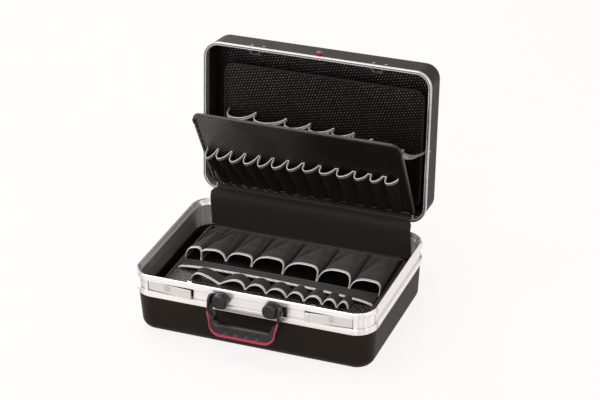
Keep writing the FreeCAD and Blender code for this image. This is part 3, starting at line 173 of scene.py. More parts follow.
@dataclass(frozen=True)
class Finish:
    """A surface: what it is made of, its colours, and how it was made."""

    name: str
    colour: str
    roughness: float
    metallic: float = 0.0
    ior: float = 1.5
    gloss: float = 0.5
    tint: str = "ffffff"

    def material(self) -> bpy.types.Material:
        """Make the material, or give back the one made before."""
        made = bpy.data.materials.get(self.name)
        if made is not None:
            return made
        made = bpy.data.materials.new(self.name)
        tree = empty_tree(made)
        plain = {
            "Base Color": linear(self.colour),
            "Roughness": self.roughness,
            "Metallic": self.metallic,
            "IOR": self.ior,
            "Specular IOR Level": self.gloss,
            "Specular Tint": linear(self.tint),
        }
        shader = add_node(tree, "BsdfPrincipled", plain)
        self.dress(tree, shader)
        add_node(tree, "OutputMaterial", {}, {"Surface": self.surface(tree, shader)})
        return made

    def dress(self, tree: Tree, shader: Node) -> None:
        """Add this finish's own pattern to the tree and the shader. The plain one has none."""

    def surface(self, tree: Tree, shader: Node) -> Node:
        """What reaches the material's output: the shader itself."""
        return shader

    def place(
        self,
        tree: Tree,
        kind: Coordinates = Coordinates.OBJECT,
        scale: tuple = (1.0, 1.0, 1.0),
        turn: tuple = (0.0, 0.0, 0.0),
    ) -> Node:
        """Coordinates for a pattern, scaled and turned.

        Args:
            tree: the node tree.
            kind: object or UV coordinates.
            scale: pattern units per metre along each axis.
            turn: the turn about each axis, in radians.

        Returns:
            The mapping node.
        """
        source = add_node(tree, "TexCoord", {}).outputs[kind.value]
        return add_node(tree, "Mapping", {"Scale": scale, "Rotation": turn}, {"Vector": source})

    def mottle(self, tree: Tree, shader: Node, vector: Source, per_m: float, other: str) -> None:
        """Shift the colour softly between this finish's colour and another one.

        Args:
            tree: the node tree.
            shader: the surface shader.
            vector: the pattern's coordinates.
            per_m: noise cells per metre.
            other: the second colour, as hex.
        """
        noise = add_node(tree, "TexNoise", {"Scale": per_m, "Detail": 3.0}, {"Vector": vector})
        colours = {UNDER: linear(self.colour), OVER: linear(other)}
        mix = add_node(tree, "Mix", {"data_type": "RGBA", **colours}, {0: noise})
        connect(tree, mix, shader, "Base Color")

    def vary(self, tree: Tree, shader: Node, pattern: Source, less: float, more: float) -> None:
        """Let the roughness follow a pattern round this finish's own roughness.

        Args:
            tree: the node tree.
            shader: the surface shader.
            pattern: the pattern, from 0 to 1.
            less: how far the roughness goes below.
            more: how far it goes above.
        """
        ends = {"To Min": self.roughness - less, "To Max": self.roughness + more}
        connect(tree, add_node(tree, "MapRange", ends, {0: pattern}), shader, "Roughness")

    def grain(
        self, tree: Tree, shader: Node, height: Source, strength: float, depth_mm: float
    ) -> None:
        """Feed a height into the shader's normal.

        Args:
            tree: the node tree.
            shader: the surface shader.
            height: the height, from 0 to 1.
            strength: the bump's strength.
            depth_mm: the height of 1, in millimetres.
        """
        size = {"Strength": strength, "Distance": depth_mm * MM}
        connect(tree, add_node(tree, "Bump", size, {"Height": height}), shader, "Normal")


@dataclass(frozen=True)
class MouldedAbs(Finish):
    """ABS thermoformed over a grained tool, so it is black with a fine, dull leather grain."""

    grain_mm: float = 1.1
    other: str = "241e1a"
    tone_per_m: float = 18.0
    gloss_per_m: float = 60.0

    def dress(self, tree: Tree, shader: Node) -> None:
        """Grain cells about a millimetre wide, and slow drifts of tone and of gloss.

        Args:
            tree: the node tree.
            shader: the surface shader.
        """
        vector = self.place(tree)
        size = {"Scale": 1.0 / (self.grain_mm * MM)}
        cells = add_node(tree, "TexVoronoi", size, {"Vector": vector})
        self.grain(tree, shader, cells, strength=0.35, depth_mm=0.12)
        self.mottle(tree, shader, vector, self.tone_per_m, self.other)
        size = {"Scale": self.gloss_per_m, "Detail": 4.0}
        cloudy = add_node(tree, "TexNoise", size, {"Vector": vector})
        self.vary(tree, shader, cloudy, less=0.06, more=0.06)


@dataclass(frozen=True)
class ExtrudedAluminium(Finish):
    """Satin anodised aluminium extrusion, bent round the case's corners.

    The anodised skin scatters part of the light, so the metal looks white and not like a
    mirror. The die leaves faint lines along the run. Upright dark bands round the corners are
    painted reflections of the curved metal, grooves and steps get painted shade, and the wall
    inside the rim gets a darker colour, a painted reflection of the case's dark inside. A rim
    wider than the corner's radius leaves that wall out.
    """

    line_mm: float = 0.9
    along_per_m: float = 2.0
    streak_mm: float = 7.0
    streak: str = "cfc8c6"
    half_mm: tuple[float, float] = (240.0, 163.0)
    corner_mm: float = 42.0
    # Depth and colour of the dark upright bands round the corners, which are painted reflections.
    bend_reflection_depth: float = 0.42
    band: str = "3f3b3a"
    # Reach of the ambient occlusion, and the colour of the painted shade in grooves and steps.
    groove_mm: float = 2.6
    groove: str = "8f8886"
    rim_mm: float = 99.0
    # Colour of the wall inside the rim, darker as a painted reflection of the case's dark inside.
    inside: str = "6c6765"

    def layers(self, tree: Tree, width_mm: float, detail: float) -> Node:
        """Noise drawn out level along the run, as lines about width_mm high.

        Args:
            tree: the node tree.
            width_mm: the height of a line.
            detail: the noise's finer layers.

        Returns:
            The noise node.
        """
        along = self.along_per_m
        vector = self.place(tree, scale=(along, along, 1.0 / (width_mm * MM)))
        return add_node(tree, "TexNoise", {"Scale": 1.0, "Detail": detail}, {"Vector": vector})

    def dress(self, tree: Tree, shader: Node) -> None:
        """Lines along the run, then colours, painted reflections and shade laid over one another by
        share.

        q is how far a place lies from the middle, less half the case's size, plus the
        corner's radius, so both of its parts are above 0 only past a corner's centre.

        Args:
            tree: the node tree.
            shader: the surface shader.
        """
        lines = self.layers(tree, self.line_mm, 2.0)
        self.grain(tree, shader, lines, strength=0.08, depth_mm=0.04)
        self.vary(tree, shader, lines, less=0.05, more=0.07)
        wide = self.layers(tree, self.streak_mm, 1.0)
        streaks = add_node(tree, "MapRange", {"From Min": 0.5, "From Max": 0.8}, {0: wide})
        flat = self.place(tree, scale=(1.0, 1.0, 0.0))
        size = add_node(tree, "VectorMath", {"operation": "ABSOLUTE"}, {0: flat})
        x, y = ((half - self.corner_mm) * MM for half in self.half_mm)
        past = add_node(tree, "VectorMath", {"operation": "SUBTRACT", 1: (x, y, 0.0)}, {0: size})
        parts = add_node(tree, "SeparateXYZ", {}, {0: past})
        either = {number: parts.outputs[number] for number in (0, 1)}
        least = add_node(tree, "Math", {"operation": "MINIMUM"}, either)
        colours = {UNDER: linear(self.colour), OVER: linear(self.streak)}
        mix = add_node(tree, "Mix", {"data_type": "RGBA", **colours}, {0: streaks})
        # Painted reflection: the darker wall inside the rim.
        wall = self.within(tree, lines, past, least)
        # Painted reflections: dark upright bands round the corners.
        bend_reflections = self.bend_reflections(tree, flat, parts, least)
        for share, colour in ((wall, self.inside), (bend_reflections, self.band)):
            settings = {"data_type": "RGBA", OVER: linear(colour)}
            mix = add_node(tree, "Mix", settings, {0: share, UNDER: mix})
        # Painted shade: towards the groove colour where ambient occlusion finds grooves, steps and
        # slots.
        near = add_node(tree, "AmbientOcclusion", {"Distance": self.groove_mm * MM})
        clean = {"From Min": 0.3, "From Max": 0.8}
        clear = add_node(tree, "MapRange", clean, {0: near.outputs["AO"]})
        settings = {"data_type": "RGBA", UNDER: linear(self.groove)}
        mix = add_node(tree, "Mix", settings, {0: clear, OVER: mix})
        connect(tree, mix, shader, "Base Color")

    def within(self, tree: Tree, lines: Source, past: Source, least: Source) -> Node:
        """How far a place shows the darker wall, a painted reflection, inside the straight runs.

        The wall is where the length of the part of q above 0 is less than the corner's radius
        less the rim. It fades as both parts of q rise past 0, and the die's lines show in it.

        Args:
            tree: the node tree.
            lines: the lines along the run.
            past: q.
            least: the lesser part of q.

        Returns:
            A node that is 0 on the outside and the rim.
        """
        above = {"operation": "MAXIMUM", 1: (0.0, 0.0, 0.0)}
        beyond = add_node(tree, "VectorMath", above, {0: past})
        length = add_node(tree, "VectorMath", {"operation": "LENGTH"}, {0: beyond})
        radius = (self.corner_mm - self.rim_mm) * MM
        shown = add_node(tree, "Math", {"operation": "LESS_THAN", 1: radius}, {0: length})
        fade = {"From Min": -4.0 * MM, "From Max": 8.0 * MM, "To Min": 1.0, "To Max": 0.1}
        lined = {"From Min": 0.3, "From Max": 0.7, "To Min": 0.55, "To Max": 0.85}
        for settings, source in ((fade, least), (lined, lines)):
            share = add_node(tree, "MapRange", settings, {0: source})
            shown = add_node(tree, "Math", {"operation": "MULTIPLY"}, {0: shown, 1: share})
        return shown

    def bend_reflections(self, tree: Tree, flat: Source, parts: Node, least: Source) -> Node:
        """How dark the corners' painted reflections are: bands by the angle round each corner's
        centre.

        The angle is arctan(qy / qx). The place's signs add a number for each corner, and
        noise over the sum gives bands of uneven width.

        Args:
            tree: the node tree.
            flat: the place, with no height.
            parts: the node with the parts of q.
            least: the lesser part of q.

        Returns:
            A node that is 0 on the straight runs.
        """
        x, y = parts.outputs[0], parts.outputs[1]
        angle = add_node(tree, "Math", {"operation": "ARCTAN2"}, {0: y, 1: x})
        signs = add_node(tree, "VectorMath", {"operation": "SIGN"}, {0: flat})
        apart = {"operation": "DOT_PRODUCT", 1: (3.0, 7.0, 0.0)}
        corner = add_node(tree, "VectorMath", apart, {0: signs})
        place = add_node(tree, "Math", {"operation": "ADD"}, {0: angle, 1: corner})
        uneven = {"noise_dimensions": "1D", "Scale": 2.4, "Detail": 1.5}
        bands = add_node(tree, "TexNoise", uneven, {"W": place})
        limits = {"From Min": 0.42, "From Max": 0.72, "To Max": self.bend_reflection_depth}
        dark = add_node(tree, "MapRange", limits, {0: bands})
        bent = add_node(tree, "MapRange", {"From Max": 6.0 * MM}, {0: least})
        return add_node(tree, "Math", {"operation": "MULTIPLY"}, {0: dark, 1: bent})


@dataclass(frozen=True)
class TurnedNickel(ExtrudedAluminium):
    """Nickel-plated plug off a lathe: fine tool lines, painted shade in its slot, and no corner
    bands.
    """

    streak: str = "c6c0be"
    bend_reflection_depth: float = 0.0
    groove_mm: float = 1.6
    # Dark colour of the painted shade in the plug's slot.
    groove: str = "1d1a19"


@dataclass(frozen=True)
class CastOrRolledMetal(Finish):
    """Plated or chromed small metal part: bright, with faint marks where it was handled."""

    marks_per_m: float = 70.0

    def dress(self, tree: Tree, shader: Node) -> None:
        """Marks a centimetre or so across change the roughness a little.

        Args:
            tree: the node tree.
            shader: the surface shader.
        """
        spots = {"Scale": self.marks_per_m, "Detail": 2.0}
        marks = add_node(tree, "TexNoise", spots, {"Vector": self.place(tree)})
        self.vary(tree, shader, marks, less=0.04, more=0.06)


@dataclass(frozen=True)
class MouldedGrip(Finish):
    """Injection-moulded plastic or rubber from a spark-eroded tool, so its gloss is soft."""

    other: str = "242120"
    grain_per_m: float = 1400.0
    tone_per_m: float = 90.0

    def dress(self, tree: Tree, shader: Node) -> None:
        """A very fine spark-eroded grain, drawn at 0.7 mm so that it shows.

        Args:
            tree: the node tree.
            shader: the surface shader.
        """
        vector = self.place(tree)
        size = {"Scale": self.grain_per_m, "Detail": 2.0}
        fine = add_node(tree, "TexNoise", size, {"Vector": vector})
        self.grain(tree, shader, fine, strength=0.15, depth_mm=0.06)
        self.mottle(tree, shader, vector, self.tone_per_m, self.other)


@dataclass(frozen=True)
class DottedBoard(Finish):
    """Board faced with embossed sheet: rows of small raised dots, pale in part as a painted
    highlight.

    The dots stand on a six-sided lattice in the board's own plane. The board leans by lean
    degrees, so its coordinates are turned back by as much. Along one of the board's axes the
    dots fade between two given places: painted light where the lamps reach the board, and
    painted shade away from them and inside the pockets. A plain bead runs round the edge, and
    half_mm is half the board's size.
    """

    lean: float = 0.0
    turn: float = 11.5
    pitch_mm: float = 6.4
    dot_mm: float = 1.0
    # Colour of the dots, partly a painted highlight.
    dot_and_highlight_colour: str = "cfcac6"
    # Noise sizes of the painted glints, and of the wear and glints, that vary the dots.
    sparkle_per_m: float = 190.0
    wear_and_glint_per_m: float = 9.0
    # Painted light and shade: the axis and the two places over which the dots fade to dark.
    dot_light_axis: int = 1
    rubbed_mm: tuple[float, float] = (FAR - 1.0, FAR)
    evenness: float = 0.15
    middle_mm: tuple[float, float] = (0.0, 0.0)
    half_mm: tuple[float, float] = (FAR, FAR)
    bead_mm: float = 7.0
    bead_edge_mm: float = 0.6
    bead_colour: str = "453f3c"

    def dots(self, tree: Tree, vector: Source, shift: float) -> Node:
        """Distance in millimetres from the nearest dot of one half of the lattice.

        The fraction of the place in cells, times the cell less half of it, is the way from
        the cell's middle, and its length is the distance.

        Args:
            tree: the node tree.
            vector: the board's coordinates in metres.
            shift: the half's offset, in cells.

        Returns:
            The node with the distance.
        """
        wide, deep = self.pitch_mm, self.pitch_mm * math.sqrt(3.0)
        per_metre = (1.0 / (wide * MM), 1.0 / (deep * MM), 1.0 / MM)
        counted = {"operation": "MULTIPLY_ADD", 1: per_metre, 2: (shift, shift, 0.0)}
        cells = add_node(tree, "VectorMath", counted, {0: vector})
        part = add_node(tree, "VectorMath", {"operation": "FRACTION"}, {0: cells})
        cell, half = (wide, deep, 0.0), (-wide / 2, -deep / 2, 0.0)
        centred = {"operation": "MULTIPLY_ADD", 1: cell, 2: half}
        away = add_node(tree, "VectorMath", centred, {0: part})
        return add_node(tree, "VectorMath", {"operation": "LENGTH"}, {0: away})

    def dress(self, tree: Tree, shader: Node) -> None:
        """Dots that fade out from 0.55 to 1.3 of dot_mm round each point of the lattice.

        Their pale colour is partly a painted highlight. A broad noise, of wear and painted
        glints, and one as fine as the dots, of painted glints, share it.

        Args:
            tree: the node tree.
            shader: the surface shader.
        """
        lean = math.radians(self.lean)
        vector = self.place(tree, turn=(lean, 0.0, math.radians(self.turn)))
        halves = {number: self.dots(tree, vector, number / 2) for number in (0, 1)}
        near = add_node(tree, "Math", {"operation": "MINIMUM"}, halves)
        edge = {"From Min": self.dot_mm * 0.55, "From Max": self.dot_mm * 1.3}
        shown = add_node(tree, "MapRange", {**edge, "To Min": 1.0, "To Max": 0.0}, {0: near})
        # Wear and painted glints: broad and fine noise make some dots paler than others.
        broad = {"Scale": self.wear_and_glint_per_m, "Detail": 1.0}
        wear_and_glint = add_node(tree, "TexNoise", broad, {"Vector": vector})
        fine = {"Scale": self.sparkle_per_m, "Detail": 0.0}
        each = add_node(tree, "TexNoise", fine, {"Vector": vector})
        both = add_node(tree, "Math", {"operation": "MULTIPLY"}, {0: wear_and_glint, 1: each})
        limits = {"From Min": 0.14, "From Max": 0.36, "To Min": self.evenness}
        spread = add_node(tree, "MapRange", limits, {0: both})
        straight = self.place(tree, turn=(lean, 0.0, 0.0))
        parts = add_node(tree, "SeparateXYZ", {}, {0: straight})
        inner = self.inside_bead(tree, parts)
        # Painted light and shade: the dots fade from pale to dark along one axis.
        start, end = (place * MM for place in self.rubbed_mm)
        reach = {"From Min": start, "From Max": end, "To Min": 1.0, "To Max": 0.08}
        rubbed = add_node(tree, "MapRange", reach, {0: parts.outputs[self.dot_light_axis]})
        for share in (spread, inner, rubbed):
            shown = add_node(tree, "Math", {"operation": "MULTIPLY"}, {0: shown, 1: share})
        colours = {UNDER: linear(self.bead_colour), OVER: linear(self.colour)}
        ground = add_node(tree, "Mix", {"data_type": "RGBA", **colours}, {0: inner})
        settings = {"data_type": "RGBA", OVER: linear(self.dot_and_highlight_colour)}
        mix = add_node(tree, "Mix", settings, {0: shown, UNDER: ground})
        connect(tree, mix, shader, "Base Color")
        self.grain(tree, shader, shown, strength=0.6, depth_mm=0.35)

    def inside_bead(self, tree: Tree, parts: Node) -> Node:
        """1 on the dotted field and 0 on the plain bead round it.

        The distance inside the edge is half the size less the distance from the middle, along
        each of the board's two directions, and the bead is where either is under its width.

        Args:
            tree: the node tree.
            parts: the node with the board's coordinates one by one.

        Returns:
            The node.
        """
        depths = {}
        for axis, (middle, half) in enumerate(zip(self.middle_mm, self.half_mm)):
            settings = {"operation": "SUBTRACT", 1: middle * MM}
            off = add_node(tree, "Math", settings, {0: parts.outputs[axis]})
            away = add_node(tree, "Math", {"operation": "ABSOLUTE"}, {0: off})
            settings = {"operation": "SUBTRACT", 0: half * MM}
            depths[axis] = add_node(tree, "Math", settings, {1: away})
        least = add_node(tree, "Math", {"operation": "MINIMUM"}, depths)
        low, high = self.bead_mm - self.bead_edge_mm, self.bead_mm + self.bead_edge_mm
        return add_node(tree, "MapRange", {"From Min": low * MM, "From Max": high * MM}, {0: least})


@dataclass(frozen=True)
class WovenCloth(Finish):
    """Plain-woven nylon: threads cross over and under, so light breaks up on the weave."""

    thread_mm: float = 0.9
    other: str = "1d1b1a"
    sheen: float = 0.15
    tone_per_m: float = 140.0

    def dress(self, tree: Tree, shader: Node) -> None:
        """Over-and-under weave from two waves a thread apart, in the cloth's own directions.

        The real thread is about 0.4 mm wide. It is drawn coarser so that it shows.

        Args:
            tree: the node tree.
            shader: the surface shader.
        """
        shader.inputs["Sheen Weight"].default_value = self.sheen
        vector = self.place(tree, Coordinates.UV)
        parts = add_node(tree, "SeparateXYZ", {}, {0: vector})
        waves = {}
        for axis in (0, 1):
            settings = {"operation": "MULTIPLY", 1: math.pi / (self.thread_mm * MM)}
            angle = add_node(tree, "Math", settings, {0: parts.outputs[axis]})
            waves[axis] = add_node(tree, "Math", {"operation": "SINE"}, {0: angle})
        weave = add_node(tree, "Math", {"operation": "MULTIPLY"}, waves)
        self.grain(tree, shader, weave, strength=0.4, depth_mm=0.2)
        self.mottle(tree, shader, vector, self.tone_per_m, self.other)


@dataclass(frozen=True)
class BoundTape(Finish):
    """Woven edge tape folded over the cloth's edge: a grey band with a pale cord along each side.

    The cords lie edges_at from the middle of the face that shows: first the one at the mouth.
    A cord set past that face's edge is on the side that doesn't show.
    """

    ground: str = "6f6863"
    edges_at: tuple[float, float] = (-3.0, 3.0)
    cord_mm: float = 1.9
    rib_mm: float = 3.4

    def dress(self, tree: Tree, shader: Node) -> None:
        """Lay the pale parts over the ground, and rib both across the run.

        The first UV coordinate is the way along the tape, and the second the way round it
        from the middle of the face that shows. Here both are in millimetres.

        Args:
            tree: the node tree.
            shader: the surface shader.
        """
        vector = self.place(tree, Coordinates.UV, (1.0 / MM, 1.0 / MM, 1.0))
        parts = add_node(tree, "SeparateXYZ", {}, {0: vector})
        colours = {UNDER: linear(self.ground), OVER: linear(self.colour)}
        settings = {"data_type": "RGBA", **colours}
        mix = add_node(tree, "Mix", settings, {0: self.pale(tree, parts)})
        connect(tree, mix, shader, "Base Color")
        settings = {"operation": "MULTIPLY", 1: 2.0 * math.pi / self.rib_mm}
        angle = add_node(tree, "Math", settings, {0: parts.outputs[0]})
        wave = add_node(tree, "Math", {"operation": "SINE"}, {0: angle})
        self.grain(tree, shader, wave, strength=0.25, depth_mm=0.12)

    def pale(self, tree: Tree, parts: Node) -> Node:
        """Pale where the place across is within about half a cord of either cord's middle.

        Args:
            tree: the node tree.
            parts: the node with the tape's coordinates, in millimetres.

        Returns:
            A node that is 1 on a cord.
        """
        near = {"From Min": self.cord_mm * 0.4, "From Max": self.cord_mm * 0.6}
        cords = {}
        for number, place in enumerate(self.edges_at):
            settings = {"operation": "SUBTRACT", 1: place}
            off = add_node(tree, "Math", settings, {0: parts.outputs[1]})
            away = add_node(tree, "Math", {"operation": "ABSOLUTE"}, {0: off})
            ends = {**near, "To Min": 1.0, "To Max": 0.0}
            cords[number] = add_node(tree, "MapRange", ends, {0: away})
        return add_node(tree, "Math", {"operation": "MAXIMUM"}, cords)


@dataclass(frozen=True)
class StripedTape(BoundTape):
    """The same tape woven with slanting pale and dark stripes."""

    stripe_mm: float = 13.0
    slant: float = 3.8

    def pale(self, tree: Tree, parts: Node) -> Node:
        """Stripes by the sine of the way along plus slant times the way across.

        Args:
            tree: the node tree.
            parts: the node with the tape's coordinates, in millimetres.

        Returns:
            A node that is 1 on a pale stripe.
        """
        settings = {"operation": "MULTIPLY_ADD", 1: self.slant}
        skew = add_node(tree, "Math", settings, {0: parts.outputs[1], 2: parts.outputs[0]})
        settings = {"operation": "MULTIPLY", 1: 2.0 * math.pi / self.stripe_mm}
        angle = add_node(tree, "Math", settings, {0: skew})
        wave = add_node(tree, "Math", {"operation": "SINE"}, {0: angle})
        return add_node(tree, "MapRange", {"From Min": -0.5, "From Max": 0.1}, {0: wave})


@dataclass(frozen=True)
class WhitePaper(Finish):
    """Matt white paper: seen directly it is mostly even white, and the rest keeps the shadow."""

    glow: str = "fffdfb"
    even_white: float = 0.88
    cloud_per_m: float = 3.0

    def dress(self, tree: Tree, shader: Node) -> None:
        """Slow changes of roughness, as in rolled paper.

        Args:
            tree: the node tree.
            shader: the surface shader.
        """
        size = {"Scale": self.cloud_per_m}
        cloudy = add_node(tree, "TexNoise", size, {"Vector": self.place(tree)})
        self.vary(tree, shader, cloudy, less=0.04, more=0.04)

    def surface(self, tree: Tree, shader: Node) -> Node:
        """The shader, with an even white of strength 1 mixed in where it is seen directly.

        Args:
            tree: the node tree.
            shader: the surface shader.

        Returns:
            The mixed shader.
        """
        white = add_node(tree, "Emission", {"Color": linear(self.glow), "Strength": 1.0})
        settings = {"operation": "MULTIPLY", 1: self.even_white}
        share = add_node(tree, "Math", settings, {0: seen_directly(tree)})
        return add_node(tree, "MixShader", {}, {0: share, 1: shader, 2: white})


@dataclass(frozen=True)
class Finishes:
    """Every finish of the case, and the paper under it."""

    shell: Finish = MouldedAbs(
        "thermoformed_black_abs", "1b1613", 0.45, gloss=0.085, tint="ffeade"
    )
    frame: Finish = ExtrudedAluminium(
        "satin_anodised_aluminium", "f8f2f1", 0.2, 0.6, streak="e6e0de", rim_mm=9.4
    )
    # The lid frame is the base frame's aluminium in darker colours: painted shade.
    lid_frame: Finish = ExtrudedAluminium(
        "satin_anodised_lid_frame_painted_shade", "cec8c6", 0.24, 0.7, streak="b8b2b0", bend_reflection_depth=0.0
    )
    lock: Finish = CastOrRolledMetal("satin_chromed_zinc", "ddd6d5", 0.24, 0.6)
    plug: Finish = TurnedNickel("turned_nickel", "d2ccca", 0.22, 0.7)
    zinc: Finish = CastOrRolledMetal("zinc_plated_steel", "b9b8b6", 0.34, 1.0)
    dark_rivet: Finish = CastOrRolledMetal("worn_steel_rivet", "9b9591", 0.3, 0.7)
    striker: Finish = CastOrRolledMetal("blackened_spring_steel", "4e4946", 0.34, 0.8)
    grip: Finish = MouldedGrip(
        "moulded_black_polyamide", "1a1614", 0.27, gloss=0.38, other="211c1a"
    )
    mount: Finish = MouldedGrip("glossy_black_polyamide", "1b1716", 0.3, gloss=0.3)
    housing: Finish = MouldedGrip("glass_filled_black_polyamide", "191817", 0.5, gloss=0.15)
    accent: Finish = MouldedGrip("soft_red_elastomer", "b83a50", 0.45, gloss=0.3, other="a83246")
    stud: Finish = MouldedGrip("glossy_red_polycarbonate", "b0242f", 0.15, other="9a1a28")
    seal: Finish = MouldedGrip("black_seal_rubber", "0f0d0d", 0.6, gloss=0.2, other="161413")
    cloth: Finish = WovenCloth(
        "woven_black_nylon", "231d1a", 0.85, gloss=0.1, thread_mm=2.2, other="38302b"
    )
    # A darker copy of the black nylon for the rows that hang facing down: painted shade.
    shaded_copy_of_cloth: Finish = WovenCloth(
        "woven_black_nylon_painted_shade", "15110f", 0.9, gloss=0.04, other="1c1816", sheen=0.02
    )
    cover: Finish = WovenCloth(
        "coated_black_cloth", "1f1a17", 0.62, gloss=0.15, thread_mm=2.0, other="2d2723"
    )
    webbing: Finish = WovenCloth(
        "grey_elastic_webbing", "6b6662", 0.7, thread_mm=1.0, other="55514d"
    )
    thread: Finish = WovenCloth("pale_sewing_thread", "aaa6a0", 0.6, thread_mm=0.8, other="8e8a85")
    tape: Finish = BoundTape(
        "two_tone_binding_tape", "fbf7f4", 0.6, gloss=0.3, ground="77706b",
        edges_at=(-3.2, 9.0), cord_mm=2.2,
    )
    low_tape: Finish = BoundTape(
        "two_tone_binding_tape_on_edge", "f8f0ec", 0.6, gloss=0.3, ground="6a6460",
        edges_at=(-2.1, 1.9), cord_mm=2.3,
    )
    flat_tape: Finish = StripedTape(
        "slant_striped_binding_tape", "f4ebe7", 0.6, gloss=0.3, ground="8d8580"
    )
    # Painted light and shade: the flat board's dots lit at the front and shaded in the pockets, the
    # upright ones lit at the top, the leaning one from the left.
    flat_board: Finish = DottedBoard(
        "dotted_board_flat", "15120f", 0.4, gloss=0.15, turn=33.0, dot_mm=1.35,
        dot_and_highlight_colour="a59f9a", rubbed_mm=(-40.0, 0.0), middle_mm=(-3.0, 0.0), half_mm=(208.0, 150.0),
    )
    back_board: Finish = DottedBoard(
        "dotted_board_upright", "141110", 0.4, gloss=0.15, lean=95.73, dot_mm=0.75,
        dot_and_highlight_colour="f0e8e4", evenness=0.3, rubbed_mm=(-415.0, -255.0), middle_mm=(0.0, -290.4),
        half_mm=(207.0, 121.25), bead_mm=4.5, bead_colour="2e2a28",
    )
    liner: Finish = DottedBoard(
        "dotted_lining", "141110", 0.4, gloss=0.15, lean=95.73, dot_mm=0.75,
        dot_and_highlight_colour="f0e8e4", evenness=0.3, rubbed_mm=(-440.0, -270.0),
    )
    upper_board: Finish = DottedBoard(
        "dotted_board_leaning", "110e0d", 0.3, gloss=0.28, lean=63.83, turn=47.5, dot_mm=1.2,
        pitch_mm=5.4, dot_and_highlight_colour="a29b96", sparkle_per_m=20.0, evenness=0.6, dot_light_axis=0,
        rubbed_mm=(-170.0, 60.0), middle_mm=(0.0, -167.2), half_mm=(210.8, 111.25),
        bead_mm=4.0, bead_colour="332e2b",
    )
    paper: Finish = WhitePaper("white_paper_floor", "f4f3f1", 0.7)


FINISH = Finishes()


# Mesh helpers


def grid_faces(rows: int, columns: int, wrap: bool = False) -> Array:
    """Quads between neighbouring points of a grid kept row after row.

    Args:
        rows: the grid's rows.
        columns: the points in a row.
        wrap: join each row's last point to its first.

    Returns:
        One row of four point numbers for each quad.
    """
    first = np.arange(rows - 1)[:, None] * columns
    here = np.arange(columns if wrap else columns - 1)[None, :]
    after = (here + 1) % columns
    return np.stack(
        [first + here, first + after, first + columns + after, first + columns + here], axis=-1
    ).reshape(-1, 4)


def make_piece(
    name: str, points: Array, faces: list[list[int]], uv: Array | None, finish: Finish
) -> bpy.types.Object:
    """Put points and faces into a new smooth-shaded mesh object at the origin.

    Args:
        name: the object's name.
        points: the places, in millimetres, one row each.
        faces: lists of point numbers.
        uv: two coordinates in metres for each point, or None.
        finish: its finish.

    Returns:
        The object.
    """
    mesh = bpy.data.meshes.new(name)
    mesh.from_pydata((points * MM).tolist(), [], faces)
    if uv is not None:
        layer = mesh.uv_layers.new(name="UVMap")
        corners = np.empty(len(mesh.loops), np.int32)
        mesh.loops.foreach_get("vertex_index", corners)
        layer.data.foreach_set("uv", uv[corners].astype(np.float32).ravel())
    mesh.polygons.foreach_set("use_smooth", np.ones(len(mesh.polygons), bool))
    made = bmesh.new()
    made.from_mesh(mesh)
    bmesh.ops.recalc_face_normals(made, faces=made.faces)
    made.to_mesh(mesh)
    made.free()
    mesh.materials.append(finish.material())
    piece = bpy.data.objects.new(name, mesh)
    bpy.context.scene.collection.objects.link(piece)
    LOG.info("%s: %d faces, %s", name, len(faces), finish.name)
    return piece


def unit(vectors: Array) -> Array:
    """Vectors made one long, along the last axis."""
    return vectors / np.maximum(np.linalg.norm(vectors, axis=-1, keepdims=True), 1e-9)


def surface_normals(grid: Array) -> Array:
    """Unit normals of a grid surface: the cross product of its two directions.

    Args:
        grid: places, rows by columns by 3.

    Returns:
        Normals of the same shape.
    """
    return unit(np.cross(np.gradient(grid, axis=1), np.gradient(grid, axis=0)))


def run_length(points: Array) -> Array:
    """Length along lines of points up to each of them: the sum of the steps before it.

    Args:
        points: places, any shape by points by 3.

    Returns:
        The lengths, one for each point.
    """
    steps = np.linalg.norm(np.diff(points, axis=-2), axis=-1)
    start = np.zeros(steps.shape[:-1] + (1,))
    return np.concatenate([start, np.cumsum(steps, axis=-1)], axis=-1)


def slab(grid: Array, thickness: float) -> tuple[Array, list[list[int]], Array]:
    """Give a grid surface a thickness, as a closed solid of even wall.

    The two faces stand half the thickness to each side along the surface's normals.

    Args:
        grid: places, rows by columns by 3, in millimetres.
        thickness: in millimetres.

    Returns:
        Points, faces, and UV coordinates in metres along the cloth.
    """
    rows, columns = grid.shape[:2]
    offset = surface_normals(grid) * (thickness / 2.0)
    points = np.concatenate([(grid + offset).reshape(-1, 3), (grid - offset).reshape(-1, 3)])
    top = grid_faces(rows, columns)
    count = rows * columns
    index = np.arange(count).reshape(rows, columns)
    rim = np.concatenate([index[0, :-1], index[:-1, -1], index[-1, :0:-1], index[:0:-1, 0]])
    after = np.roll(rim, -1)
    side = np.stack([rim, after, after + count, rim + count], axis=-1)
    faces = np.concatenate([top, top[:, ::-1] + count, side]).tolist()
    along = run_length(np.swapaxes(grid, 0, 1)).T
    uv = np.stack([run_length(grid), along], axis=-1).reshape(-1, 2) * MM
    return points, faces, np.concatenate([uv, uv])


def superellipse(count: int, half_width: float, half_height: float, power: float) -> Array:
    """Points round |x/a|^n + |y/b|^n = 1, which is a rectangle with soft corners for n above 2.

    Args:
        count: how many points.
        half_width: a.
        half_height: b.
        power: n.

    Returns:
        Points, count by 2.
    """
    angle = np.linspace(0.0, 2.0 * math.pi, count, endpoint=False)
    ring = np.stack([np.cos(angle), np.sin(angle)], axis=-1)
    return np.array([half_width, half_height]) * np.sign(ring) * np.abs(ring) ** (2.0 / power)


